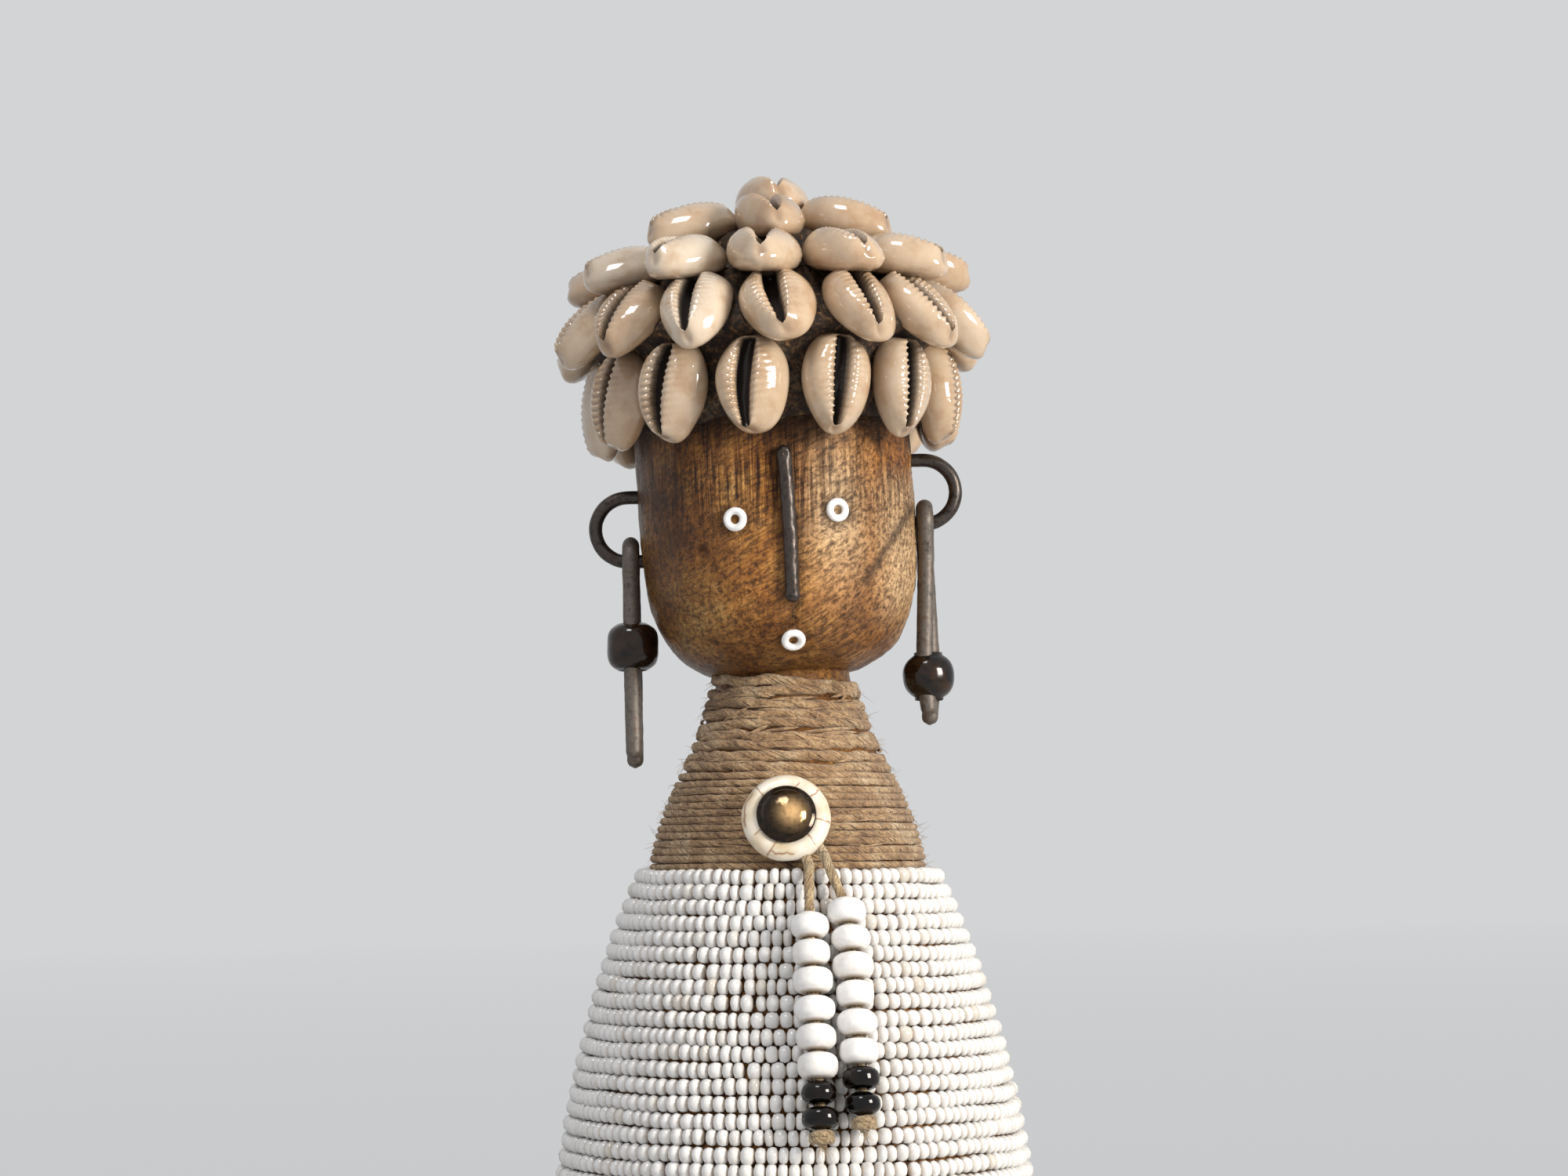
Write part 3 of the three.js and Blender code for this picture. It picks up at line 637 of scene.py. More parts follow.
@dataclass
class Palette:
    """The doll's finishes as materials, made once."""

    wood: Material = field(default_factory=CarvedWood(
        "oiled_carved_wood", 0.3, ior=1.36, coat=0.04, coat_roughness=0.3).material)
    pitch: Material = field(default_factory=Pitch("pressed_pitch", 0.72).material)
    shell: Material = field(
        default_factory=CowrieShell("glazed_cowrie", 0.07, ior=1.56, coat=0.5, coat_roughness=0.05).material)
    iron: Material = field(default_factory=ForgedIron("drawn_iron", 0.5, metallic=0.45).material)
    nail: Material = field(
        default_factory=ForgedIron(
            "nail_iron", 0.34, metallic=0.7, dark="#1F1B18", light="#4E4743", rust="#3C2F26").material)
    seed: Material = field(default_factory=BeadGlass("milky_seed_glass", 0.15, ior=1.54).material)
    ivory: Material = field(default_factory=BeadGlass(
        "pendant_glass", 0.1, ior=1.54, light="#F4F4F4", middle="#EEEDEC", dark="#E6E3DF",
        dust="#B9A282").material)
    jet: Material = field(default_factory=DarkGlass(
        "black_bead_glass", 0.08, ior=1.4, deep="#040302", glow="#160C07").material)
    amber: Material = field(
        default_factory=DarkGlass("bronze_bead_glass", 0.1, ior=1.42, coat=0.12).material)
    jute: Material = field(default_factory=JuteFibre("spun_jute", 0.9, sheen=0.25).material)
    twine: Material = field(default_factory=JuteFibre(
        "pale_twine", 0.9, sheen=0.25, dark="#DCC096", middle="#EED8B0", light="#FAEDD2").material)
    bone: Material = field(default_factory=CrackedBone("cracked_bone", 0.32, ior=1.54).material)
    bronze: Material = field(default_factory=AgedBronze("aged_bronze", 0.11, metallic=0.6).material)


# Shared forms: the doll's outline, the pose of its head, and modelling by hand


@dataclass(frozen=True)
class Outline:
    """The outside of the skirt and the collar: a radius at each height, in millimetres."""

    skirt_height: float = 133.6
    skirt_top: float = 27.5
    hem: float = 47.4
    flare: float = 3.1
    collar_height: float = 32.4
    collar_top: float = 13.8
    collar_base: float = 25.6
    sway: float = 0.05

    def radius(self, z: float) -> float:
        """Returns the radius at a height.

        Args:
            z: the height in millimetres.

        Returns:
            The radius.
        """
        if z <= self.skirt_height:
            return self.hem - (self.hem - self.skirt_top) * (max(z, 0.0) / self.skirt_height) ** self.flare
        down = (self.skirt_height + self.collar_height - z) / self.collar_height
        spread = down - self.sway * sin(tau * down)
        return self.collar_top + (self.collar_base - self.collar_top) * spread

    def outward(self, z: float) -> tuple[float, float]:
        """Returns the radial and the upward part of the outline's normal at a height.

        Args:
            z: the height in millimetres.

        Returns:
            The two parts of the unit normal.
        """
        if z <= self.skirt_height:
            share = max(z, 0.0) / self.skirt_height
            slope = -(self.hem - self.skirt_top) * self.flare * share ** (self.flare - 1) / self.skirt_height
        else:
            down = (self.skirt_height + self.collar_height - z) / self.collar_height
            rate = 1 - self.sway * tau * cos(tau * down)
            slope = -(self.collar_base - self.collar_top) * rate / self.collar_height
        size = hypot(1.0, slope)
        return 1 / size, -slope / size

    def descent(self, start: float, reach: float) -> tuple[np.ndarray, np.ndarray]:
        """Follows the outline down from a height.

        Args:
            start: the height to start from.
            reach: how far to follow it.

        Returns:
            Lengths followed, and the height at each.
        """
        steps = 1200
        lengths = np.linspace(0.0, reach, steps + 1)
        heights = [start]
        for _ in range(steps):
            heights.append(heights[-1] - reach / steps * self.outward(heights[-1])[0])
        return lengths, np.array(heights)

    def at(self, angle: float, z: float, inset: float = 0.0) -> Vector:
        """Returns the point at an angle from the front and a height, inset below the surface.

        Args:
            angle: angle from the front.
            z: the height in millimetres.
            inset: depth below the surface.

        Returns:
            The point.
        """
        radial, up = self.outward(z)
        reach = self.radius(z) - inset * radial
        return Vector((reach * sin(angle), -reach * cos(angle), z - inset * up))


@dataclass(frozen=True)
class HeadPose:
    """Where the head stands and how it leans, its rounded outline, and the places on its face."""

    centre: float = 204.0
    shift: float = -0.85
    radius: float = 25.7
    skull: float = 29.0
    chin: float = 37.0
    squareness: float = 3.6
    roll: float = radians(2.5)
    turn: float = radians(4.1)
    eye_spread: float = 9.25
    eye_levels: tuple[float, float] = (-9.0, -8.4)
    mouth_level: float = -31.1
    nose_top: float = 3.6
    nose_bottom: float = -24.7

    def matrix(self) -> Matrix:
        """Returns the head's place in the doll, in millimetres."""
        return (Matrix.Translation((self.shift, 0, self.centre)) @ Matrix.Rotation(-self.roll, 4, "Y")
                @ Matrix.Rotation(self.turn, 4, "Z"))

    def outline(self, level: float) -> float:
        """Returns the head's radius at a level above its centre.

        Args:
            level: height above the centre.

        Returns:
            The radius.
        """
        reach = self.skull if level > 0 else self.chin
        share = min(abs(level) / reach, 1.0)
        return self.radius * (1 - share ** self.squareness) ** (1 / self.squareness)

    def marks(self) -> tuple[tuple[float, float], ...]:
        """Returns where the three ring beads sit on the face, across and up."""
        left, right = self.eye_levels
        return (-self.eye_spread, left), (self.eye_spread, right), (0.0, self.mouth_level)

    def face_point(self, x: float, level: float, lift: float = 0.0) -> Vector:
        """Returns a point on the front of the head, lifted off it, in the head's own frame.

        Args:
            x: place across the face.
            level: height above the centre.
            lift: distance off the wood.

        Returns:
            The point.
        """
        radius = self.outline(level)
        angle = asin(max(-1.0, min(1.0, x / radius)))
        return Vector(((radius + lift) * sin(angle), -(radius + lift) * cos(angle), level))


OUTLINE = Outline()
HEAD = HeadPose()


@dataclass(frozen=True)
class Stage:
    """One ring of a shape drawn up by hand: its half length, half width and height."""

    along: float
    across: float
    height: float


def disc(radius: float, height: float) -> Stage:
    """Returns a round stage."""
    return Stage(radius, radius, height)


def select_only(piece: Object) -> None:
    """Leaves one object selected and active.

    Args:
        piece: the object.
    """
    bpy.ops.object.select_all(action="DESELECT")
    piece.select_set(True)
    bpy.context.view_layer.objects.active = piece


def taken_from(work: Object) -> Form:
    """Returns the vertices and faces of a working object, and removes it.

    Args:
        work: the working object.

    Returns:
        Its vertices in its own unit, and its faces.
    """
    mesh = work.data
    points = np.array([tuple(v.co) for v in mesh.vertices])
    faces = [tuple(p.vertices) for p in mesh.polygons]
    bpy.data.objects.remove(work)
    bpy.data.meshes.remove(mesh)
    return points, faces


def renumbered(faces: Faces, order: np.ndarray) -> Faces:
    """Puts faces in the one order that follows from a new order of their vertices.

    Args:
        faces: vertex numbers of each face.
        order: the old number of each vertex, in the new order.

    Returns:
        The faces, each from its lowest vertex on.
    """
    numbers = np.argsort(order)
    turned = []
    for face in faces:
        corners = [int(numbers[i]) for i in face]
        low = corners.index(min(corners))
        turned.append(tuple(corners[low:] + corners[:low]))
    return sorted(turned)


def drawn_up(name: str, sides: int, stages: Sequence[Stage]) -> tuple[np.ndarray, Faces, np.ndarray]:
    """Models a closed form from a filled circle, extruded and resized once for each stage.

    Extruding leaves the vertices in no fixed order, so they are sorted by stage and angle.

    Args:
        name: name of the working object, which is removed again.
        sides: corners of the circle.
        stages: its rings, in millimetres, from the bottom.

    Returns:
        Vertices, faces and the number of each vertex's stage.
    """
    bpy.ops.object.select_all(action="DESELECT")
    first = stages[0]
    bpy.ops.mesh.primitive_circle_add(vertices=sides, radius=1.0, fill_type="NGON")
    work = bpy.context.object
    work.name = name
    select_only(work)
    bpy.ops.object.mode_set(mode="EDIT")
    bmesh.from_edit_mesh(work.data).verts.layers.int.new("stage")
    bpy.ops.transform.resize(value=(first.along, first.across, 1.0), center_override=(0, 0, 0))
    bpy.ops.transform.translate(value=(0, 0, first.height))
    for number, (low, high) in enumerate(zip(stages, stages[1:]), start=1):
        bpy.ops.mesh.extrude_region_move(TRANSFORM_OT_translate={"value": (0, 0, high.height - low.height)})
        bpy.ops.transform.resize(value=(high.along / low.along, high.across / low.across, 1.0),
                                 center_override=(0, 0, high.height))
        form = bmesh.from_edit_mesh(work.data)
        layer = form.verts.layers.int["stage"]
        for vertex in form.verts:
            if vertex.select:
                vertex[layer] = number
    bpy.ops.mesh.select_all(action="SELECT")
    bpy.ops.mesh.normals_make_consistent(inside=False)
    bpy.ops.object.mode_set(mode="OBJECT")
    rings = np.array([item.value for item in work.data.attributes["stage"].data])
    points, faces = taken_from(work)
    order = np.lexsort((np.arctan2(points[:, 1], points[:, 0]), rings))
    return points[order], renumbered(faces, order), rings[order]


def moved(points: np.ndarray, matrix: Matrix) -> np.ndarray:
    """Returns points after a transform."""
    turned = np.asarray(points) @ np.array(matrix.to_3x3()).T
    return turned + np.array(matrix.translation)


def frame_of(x_axis: Vector, z_axis: Vector, place: Vector) -> Matrix:
    """Returns the transform to a place with the given X axis, and Z as near to z_axis as it can be.

    Args:
        x_axis: the X axis.
        z_axis: where Z points, about.
        place: the origin.

    Returns:
        The transform.
    """
    first = x_axis.normalized()
    second = z_axis.cross(first).normalized()
    third = first.cross(second)
    matrix = Matrix((first, second, third)).transposed().to_4x4()
    matrix.translation = place
    return matrix


@dataclass
class Maker(ABC):
    """Makes some of the doll's pieces in their finishes."""

    palette: Palette

    @abstractmethod
    def build(self) -> None:
        """Makes the pieces and puts them on their bodies."""


# Hair of cowries on pitch


@dataclass(frozen=True)
class ShellRow:
    """One ring of shells: where the middle of a shell's back is, and its dip below the horizontal."""

    name: str
    count: int
    start: float
    reach: float
    level: float
    dip: float

    def matrix(self, index: int, lift: float) -> Matrix:
        """Returns a shell's place in the head: X to its outer tip, Z out of its slit.

        Args:
            index: which shell of the row.
            lift: how far its back stands off the pitch.

        Returns:
            The transform, in millimetres.
        """
        angle = radians(self.start + 360 * index / self.count)
        dip = radians(self.dip)
        out = Vector((sin(angle), -cos(angle), 0))
        up = Vector((0, 0, 1))
        tip = out * cos(dip) - up * sin(dip)
        face = out * sin(dip) + up * cos(dip)
        return frame_of(tip, face, out * self.reach + up * self.level + face * lift)


@dataclass
class CowrieHair(Maker):
    """Rings of cowries with their slits outwards, set in lumpy pitch."""

    length: float = 18.6
    width: float = 13.4
    height: float = 6.6
    arch: float = 0.32
    sides: int = 120
    rim_stage: float = 8
    rim_run: float = 5.5
    lip_stage: float = 14.2
    rib_stage: float = 13.0
    roll_stage: float = 13.4
    lean_stage: float = 4
    lean_run: float = 6
    slit_stage: float = 14.0
    teeth_pitch: float = 1.25
    crown_level: float = 50.7
    crown_turn: float = -74.0
    crown_shift: float = 1.6
    shift: float = -0.6
    roll: float = radians(1.0)
    rows: tuple[ShellRow, ...] = (
        ShellRow("cowrie_fringe", count=13, start=-10.1, reach=28.8, level=14.2, dip=86.0),
        ShellRow("cowrie_brim", count=14, start=-0.7, reach=32.0, level=26.4, dip=45.0),
        ShellRow("cowrie_upper", count=12, start=-5.0, reach=28.5, level=35.7, dip=10.0),
    )
    profile: tuple[Stage, ...] = (
        Stage(0.50, 0.44, -0.18), Stage(0.74, 0.70, -0.14), Stage(0.90, 0.88, -0.02),
        Stage(0.975, 0.965, 0.14), Stage(1.0, 1.0, 0.30), Stage(0.99, 0.985, 0.44),
        Stage(0.965, 0.95, 0.57), Stage(0.935, 0.89, 0.69), Stage(0.92, 0.81, 0.79),
        Stage(0.91, 0.70, 0.88), Stage(0.905, 0.59, 0.945), Stage(0.90, 0.49, 0.985),
        Stage(0.897, 0.40, 1.0), Stage(0.894, 0.33, 0.975), Stage(0.89, 0.27, 0.91),
        Stage(0.887, 0.225, 0.80), Stage(0.884, 0.19, 0.62), Stage(0.88, 0.16, 0.38))
    points: np.ndarray = field(init=False)
    faces: Faces = field(init=False)
    stages: np.ndarray = field(init=False)
    top: ShellRow = ShellRow("cowrie_top", count=6, start=-0.3, reach=16.0, level=44.9, dip=12.0)
    chance: random.Random = field(default_factory=lambda: random.Random(SEED))

    def pose(self) -> Matrix:
        """Returns the hair's place in the doll: turned with the head, but standing straighter."""
        return (Matrix.Translation((self.shift, 0, HEAD.centre)) @ Matrix.Rotation(-self.roll, 4, "Y")
                @ Matrix.Rotation(HEAD.turn, 4, "Z"))

    def template(self) -> None:
        """Models one plain shell, from its cut back over its rim and down into the slit."""
        half_length, half_width = self.length / 2, self.width / 2
        stages = [Stage(half_length * stage.along, half_width * stage.across, self.height * stage.height)
                  for stage in self.profile]
        self.points, self.faces, self.stages = drawn_up("shell_form", self.sides, stages)

    def shell(self) -> tuple[np.ndarray, dict[str, np.ndarray]]:
        """Shapes one shell of its own from the template.

        Returns:
            Its vertices, on its back with X to the narrow end, and its attributes.
        """
        draw = self.chance.uniform
        stretch = draw(0.96, 1.03)
        broad = draw(0.94, 1.02)
        offset = draw(-1.9, -0.6)
        slant = draw(-0.05, 0.10)
        phase = draw(0, 6.28)
        tint = self.chance.random()
        shaped, groove, edge = [], [], []
        for (x, y, z), stage in zip(self.points, self.stages):
            along, across = self.profile[stage].along, self.profile[stage].across
            angle = atan2(y / across, x / along * self.width / self.length)
            inward = unit((stage - self.rim_stage) / self.rim_run)
            flow = abs(sin(angle))
            y_share = copysign(flow ** (0.9 - 0.72 * inward), sin(angle))
            x_share = (1 - inward) * cos(angle) + inward * (1 - 2 * abs(angle) / pi)
            taper = 1 - 0.13 * x_share - 0.05 * x_share * x_share
            knob = 1 + 0.014 * cos(3 * angle + phase) + 0.01 * cos(5 * angle - phase)
            px = self.length / 2 * along * x_share * (1 + (knob - 1) * (1 - inward)) * stretch
            py = self.width / 2 * across * taper * y_share * knob * broad * (1 - 0.14 * inward * x_share)
            toothed = 1.0 if py < 0 else 0.45
            share = px / (self.length / 2)
            end = max(0.0, (abs(x_share) - 0.66) / 0.34)
            canal = exp(-(py / 0.85) ** 2) * end * end
            rise = unit((z / self.height - 0.3) / 0.4)
            pz = z * (1 - self.arch * share * share) - 1.0 * canal * rise
            ridge = cos(tau * (px + 0.22 * py) / self.teeth_pitch)
            reach = 2.4 if py < 0 else 3.4
            open_run = unit((0.94 - abs(x_share)) / 0.1)
            lip = exp(-((stage - self.lip_stage) / 1.7) ** 2) * open_run
            rib = exp(-((stage - self.rib_stage) / reach) ** 2) * open_run
            py += copysign(0.42 * ridge * lip * toothed, -y_share)
            pz += 0.3 * ridge * rib * (0.3 + 0.7 * toothed)
            lean = unit((stage - self.lean_stage) / self.lean_run)
            py += (offset * (1 - 0.5 * x_share * x_share) - slant * px) * lean
            shaped.append((px, py, pz))
            # Painted shade, deep in the slit and in the grooves between the teeth.
            deep = unit((stage - self.slit_stage) / 1.6)
            groove.append(max(deep, 0.45 * max(0.0, -ridge) * rib * (0.2 + 0.8 * toothed)))
            # Browner round the cut back, along the canals at the slit's ends, at the inner end and on the
            # rolled right lip.
            rolled = 0.3 * exp(-((stage - self.roll_stage) / 1.3) ** 2) * (1 - toothed)
            blunt_end = 0.4 * max(0.0, -x_share - 0.7)
            edge.append(max(0.0, 0.8 - 0.4 * stage) + 0.4 * canal * rise + blunt_end + rolled)
        values = {"groove": np.array(groove), "edge": np.clip(np.array(edge), 0, 0.85),
                  "tint": np.full(len(shaped), tint)}
        return np.array(shaped), values

    def build(self) -> None:
        """Makes every shell and the pitch under them."""
        self.template()
        pose = self.pose()
        for row in self.rows:
            for index in range(row.count):
                name = f"{row.name}_{index + 1:02d}"
                self.lay(name + "_shell", pose @ row.matrix(index, 0.3), name)
        for index in range(self.top.count):
            self.lay(f"cowrie_top_{index + 1:02d}_shell", pose @ self.top.matrix(index, -0.4))
        crown = Matrix.Translation((self.crown_shift, 0, self.crown_level - 0.4)) @ Matrix.Rotation(
            radians(self.crown_turn), 4, "Z")
        self.lay("cowrie_crown_shell", pose @ crown)
        self.pitch()

    def lay(self, name: str, place: Matrix, *nodes: str) -> None:
        """Lays one shell, a little askew, at a place.

        Args:
            name: the piece's name.
            place: its transform.
            *nodes: the CAD node that it stands for.
        """
        points, values = self.shell()
        askew = Matrix.Rotation(radians(self.chance.uniform(-9, 9)), 4, "Z") @ Matrix.Rotation(
            radians(self.chance.uniform(-5, 5)), 4, "X")
        piece = make_piece(name, moved(points, place @ askew), self.faces, self.palette.shell, values)
        place_piece(piece, FIGURE, "cowrie", *nodes)

    def pitch(self) -> None:
        """Makes the pitch: rings that follow the shells' backs, swollen between neighbours."""
        sides = 200
        stages = [disc(24.0, 10.4), disc(25.4, 9.6), disc(26.3, 9.6), disc(27.1, 10.6), disc(27.8, 12.4),
                  disc(28.2, 14.5), disc(28.4, 17.2), disc(28.6, 19.9), disc(29.8, 22.0), disc(31.4, 23.7),
                  disc(32.8, 24.9), disc(32.4, 26.1), disc(30.6, 28.0), disc(28.6, 29.8), disc(26.6, 31.7),
                  disc(25.2, 33.4), disc(25.0, 34.8), disc(24.4, 36.2), disc(22.0, 37.0), disc(19.0, 37.6),
                  disc(16.0, 38.2), disc(15.0, 39.6), disc(14.9, 41.6), disc(14.9, 43.4), disc(13.0, 45.2),
                  disc(9.6, 46.2), disc(6.8, 47.0), disc(5.8, 48.4), disc(5.2, 49.8), disc(3.0, 50.4)]
        points, faces, _ = drawn_up("pitch_form", sides, stages)
        shaped = []
        for x, y, z in points:
            angle = atan2(x, -y)
            reach = hypot(x, y)
            swell = 0.0
            for row in (*self.rows, self.top):
                step = tau / row.count
                off = (angle - radians(row.start)) / step
                between = 0.5 - 0.5 * cos(tau * off)
                near = exp(-((z - row.level) / 4.0) ** 2)
                swell += 1.3 * near * between ** 2
            bump = 0.5 * lumps((x, y, z), 2.2) + 0.35 * lumps((x + 9, y, z), 6.0)
            bump += 0.22 * lumps((x, y + 5, z), 0.9)
            share = min(1.0, reach / 10)
            grow = (swell + bump) * share
            shaped.append((x * (1 + grow / reach), y * (1 + grow / reach), z + 0.3 * bump
                           + 1.6 * lumps((x, y, 3.0), 5.0, 2) * smooth(13.0, 9.0, z)))
        piece = make_piece("pitch_bed", moved(np.array(shaped), self.pose()), faces, self.palette.pitch)
        place_piece(piece, FIGURE, "pitch", "pitch_cap")


# The carved figure


def smooth(low: float, high: float, value: float) -> float:
    """Returns 0 below low, 1 above high and a smooth step between."""
    share = unit((value - low) / (high - low))
    return share * share * (3 - 2 * share)


@dataclass(frozen=True)
class CoreRun:
    """A stretch of the core: its lowest and highest ring, how many rings, and how far they lie inside."""

    low: float
    high: float
    count: int
    inset: float


@dataclass
class CarvedFigure(Maker):
    """The carved head, and the plain core that carries the cords and the beads."""

    segments: int = 224
    rings: int = 120
    peg_hole: tuple[float, float] = (-15.6, -14.0)
    # A dark diagonal streak down the right cheek, as points across and up.
    smudge: tuple[tuple[float, float], ...] = ((24.4, -7.5), (20.4, -12.5), (14.0, -21.0))
    crack: tuple[tuple[float, float], ...] = ((0.3, -25.2), (-0.3, -26.6), (0.4, -27.8), (0.0, -28.8))
    neck_top: float = 165.0
    base_chamfer: float = 3.0
    ledge_inset: float = 1.4
    ledge_level: float = 130.4
    pin_radius: float = 11.0
    pin_top: float = 180.0
    core_runs: tuple[CoreRun, ...] = (
        CoreRun(low=3.0, high=129.6, count=34, inset=2.5),
        CoreRun(low=133.9, high=149.0, count=8, inset=1.1),
        CoreRun(low=150.0, high=167.0, count=8, inset=1.2))

    def build(self) -> None:
        """Makes the figure as one closed carving, with its vertices in a fixed order."""
        core = self.core()
        figure = self.head()
        union = figure.modifiers.new("join", "BOOLEAN")
        union.operation = "UNION"
        union.solver = "EXACT"
        union.object = core
        select_only(figure)
        bpy.ops.object.modifier_apply(modifier=union.name)
        taken_from(core)
        points, faces = taken_from(figure)
        order = np.lexsort(points.T)
        figure = make_piece("carved_head", points[order] / MM, renumbered(faces, order), self.palette.wood)
        self.stain(figure.data)
        place_piece(figure, FIGURE, "wood", "carved_figure")

    def head(self) -> Object:
        """Carves the head from a sphere: squared to its outline, then cut and worn.

        Returns:
            The head, not yet joined to the core.
        """
        bpy.ops.object.select_all(action="DESELECT")
        bpy.ops.mesh.primitive_uv_sphere_add(segments=self.segments, ring_count=self.rings, radius=1.0)
        head = bpy.context.object
        head.name = "carved_head"
        levels = np.concatenate([np.linspace(-HEAD.chin, 0, 900), np.linspace(0, HEAD.skull, 900)[1:]])
        reach = np.array([HEAD.outline(level) for level in levels])
        run = np.concatenate([[0.0], np.cumsum(np.hypot(np.diff(levels), np.diff(reach)))])
        pose = HEAD.matrix()
        for vertex in head.data.vertices:
            x, y, z = vertex.co
            share = 0.5 + asin(max(-1.0, min(1.0, z))) / pi
            level = float(np.interp(share * run[-1], run, levels))
            radius = float(np.interp(share * run[-1], run, reach))
            flat = hypot(x, y) or 1.0
            place = Vector((x / flat * radius, y / flat * radius, level))
            half = HEAD.skull if level > 0 else HEAD.chin
            power = HEAD.squareness
            outward = radius ** (power - 1) / HEAD.radius ** power
            upward = copysign(abs(level) ** (power - 1) / half ** power, level)
            normal = Vector((x / flat * outward, y / flat * outward, upward)).normalized()
            vertex.co = pose @ (place + normal * self.cut(place)) * MM
        return head

    def cut(self, place: Vector) -> float:
        """Returns how far the surface stands off the plain outline at a place on the head.

        Args:
            place: a point in the head's own frame.

        Returns:
            The depth, above 0 outward.
        """
        x, y, level = place
        depth = 0.32 * lumps((x, y, level), 11.0, 2)
        depth += 0.14 * lumps((x * 4, y * 4, level * 0.4), 5.0) * (1 - 0.6 * smooth(-4.0, -16.0, level))
        depth += 0.14 * lumps((x, y, level), 1.7) * smooth(-2.0, 10.0, x)
        slanting = lumps((x * 1.5 + level * 3.5, y, level * 3 - x * 1.2), 4.0)
        depth += 0.10 * slanting * smooth(-6.0, -18.0, level)
        if y > 0:
            return depth
        for across, mark in HEAD.marks():
            away = hypot(x - across, level - mark)
            depth -= 0.4 * exp(-((away - 2.6) / 0.8) ** 2)
            depth -= 0.5 * exp(-(away / 0.8) ** 2)
        if HEAD.nose_bottom - 1 < level < HEAD.nose_top + 1:
            depth -= 0.45 * exp(-(x / 1.7) ** 2)
        depth -= 0.5 * self.beside(self.crack, x, level, 0.42)
        hole = hypot(x - self.peg_hole[0], level - self.peg_hole[1])
        depth -= 0.9 * exp(-(hole / 0.6) ** 2)
        return depth

    def beside(self, line: Sequence[tuple[float, float]], x: float, level: float, width: float) -> float:
        """Returns 1 on a line over the face, falling to 0 beside it.

        Args:
            line: points of the line, across and up.
            x: place across the face.
            level: height above the centre.
            width: how far the line reaches.

        Returns:
            The share.
        """
        nearest = 9.0
        for (x0, z0), (x1, z1) in zip(line, line[1:]):
            share = unit((level - z0) / (z1 - z0))
            nearest = min(nearest, hypot(x - x0 - (x1 - x0) * share, level - z0 - (z1 - z0) * share))
        return exp(-(nearest / width) ** 2)

    def core(self) -> Object:
        """Draws up the core under the cords and the beads, from its flat base to inside the head.

        Returns:
            The core.
        """
        stages = [disc(OUTLINE.radius(0.0) - self.base_chamfer, 0.0)]
        for run in self.core_runs:
            for z in np.linspace(run.low, run.high, run.count):
                stages.append(disc(OUTLINE.radius(z) - run.inset, z))
            if run.low < self.ledge_level:
                stages.append(disc(OUTLINE.collar_base - self.ledge_inset, self.ledge_level))
        stages.append(disc(self.pin_radius, self.pin_top))
        points, faces, _ = drawn_up("core_form", 96, stages)
        return make_piece("core", points, faces, self.palette.wood)

    def stain(self, mesh: Mesh) -> None:
        """Paints shade on the core, left side and chin, and darkens hollows, under the hair and round what is
        set in.

        Args:
            mesh: the joined carving.
        """
        back = HEAD.matrix().inverted()
        layer = mesh.attributes.new("stain", "FLOAT", "POINT")
        combed = mesh.attributes.new("upright", "FLOAT", "POINT")
        rubbed = mesh.attributes.new("worn", "FLOAT", "POINT")
        for vertex, value, comb, worn in zip(mesh.vertices, layer.data, combed.data, rubbed.data):
            place = vertex.co / MM
            x, y, level = back @ place
            # Painted highlight: a pale sheen right of the nose and along the lit right jaw.
            cheek = 0.9 * exp(-((x - 9) / 6) ** 2 - ((level + 8) / 13) ** 2)
            jaw = 0.7 * smooth(12.0, 21.0, x) * smooth(2.0, -6.0, level) * smooth(-34.0, -22.0, level)
            worn.value = max(cheek, jaw) if y < 0 else jaw
            comb.value = 0.95 - 0.7 * smooth(4.0, 16.0, -level) - 0.25 * smooth(2.0, 8.0, x)
            # Painted shade on the core, which shows only in the gaps between the bead rows and the cord
            # turns.
            dark = 0.4 + 0.1 * smooth(131.0, 134.0, place.z)
            dark *= 1 - smooth(self.neck_top, self.neck_top + 2.5, place.z)
            if place.z > self.neck_top:
                patchy = 0.75 + 0.3 * lumps((x, y, level), 6.0)
                # Under the hair: pitch smeared on the wood, and the hair's painted shadow.
                dark = max(dark, 0.85 * smooth(3.0, 11.0, level + 2 * patchy))
                # Painted shade on the underside of the chin.
                dark = max(dark, 0.7 * smooth(20.0, 36.0, -level) * patchy)
                # Painted shade on the left side, away from the key light.
                dark = max(dark, 0.72 * smooth(3.0, 25.0, -x) * patchy)
            if y < 0 and place.z > self.neck_top:
                for across, mark in HEAD.marks():
                    away = hypot(x - across, level - mark)
                    dark = max(dark, 0.55 * exp(-((away - 2.5) / 0.7) ** 2), 0.25 * exp(-away ** 2))
                if HEAD.nose_bottom - 1.2 < level < HEAD.nose_top + 1.2:
                    dark = max(dark, 0.7 * exp(-(x / 1.9) ** 2))
                dark = max(dark, 0.95 * self.beside(self.crack, x, level, 0.42))
                # A dark diagonal streak down the right cheek.
                dark = max(dark, 0.75 * self.beside(self.smudge, x, level, 1.1))
                hole = hypot(x - self.peg_hole[0], level - self.peg_hole[1])
                dark = max(dark, exp(-(hole / 0.55) ** 2))
            value.value = dark


# The skirt of threaded beads


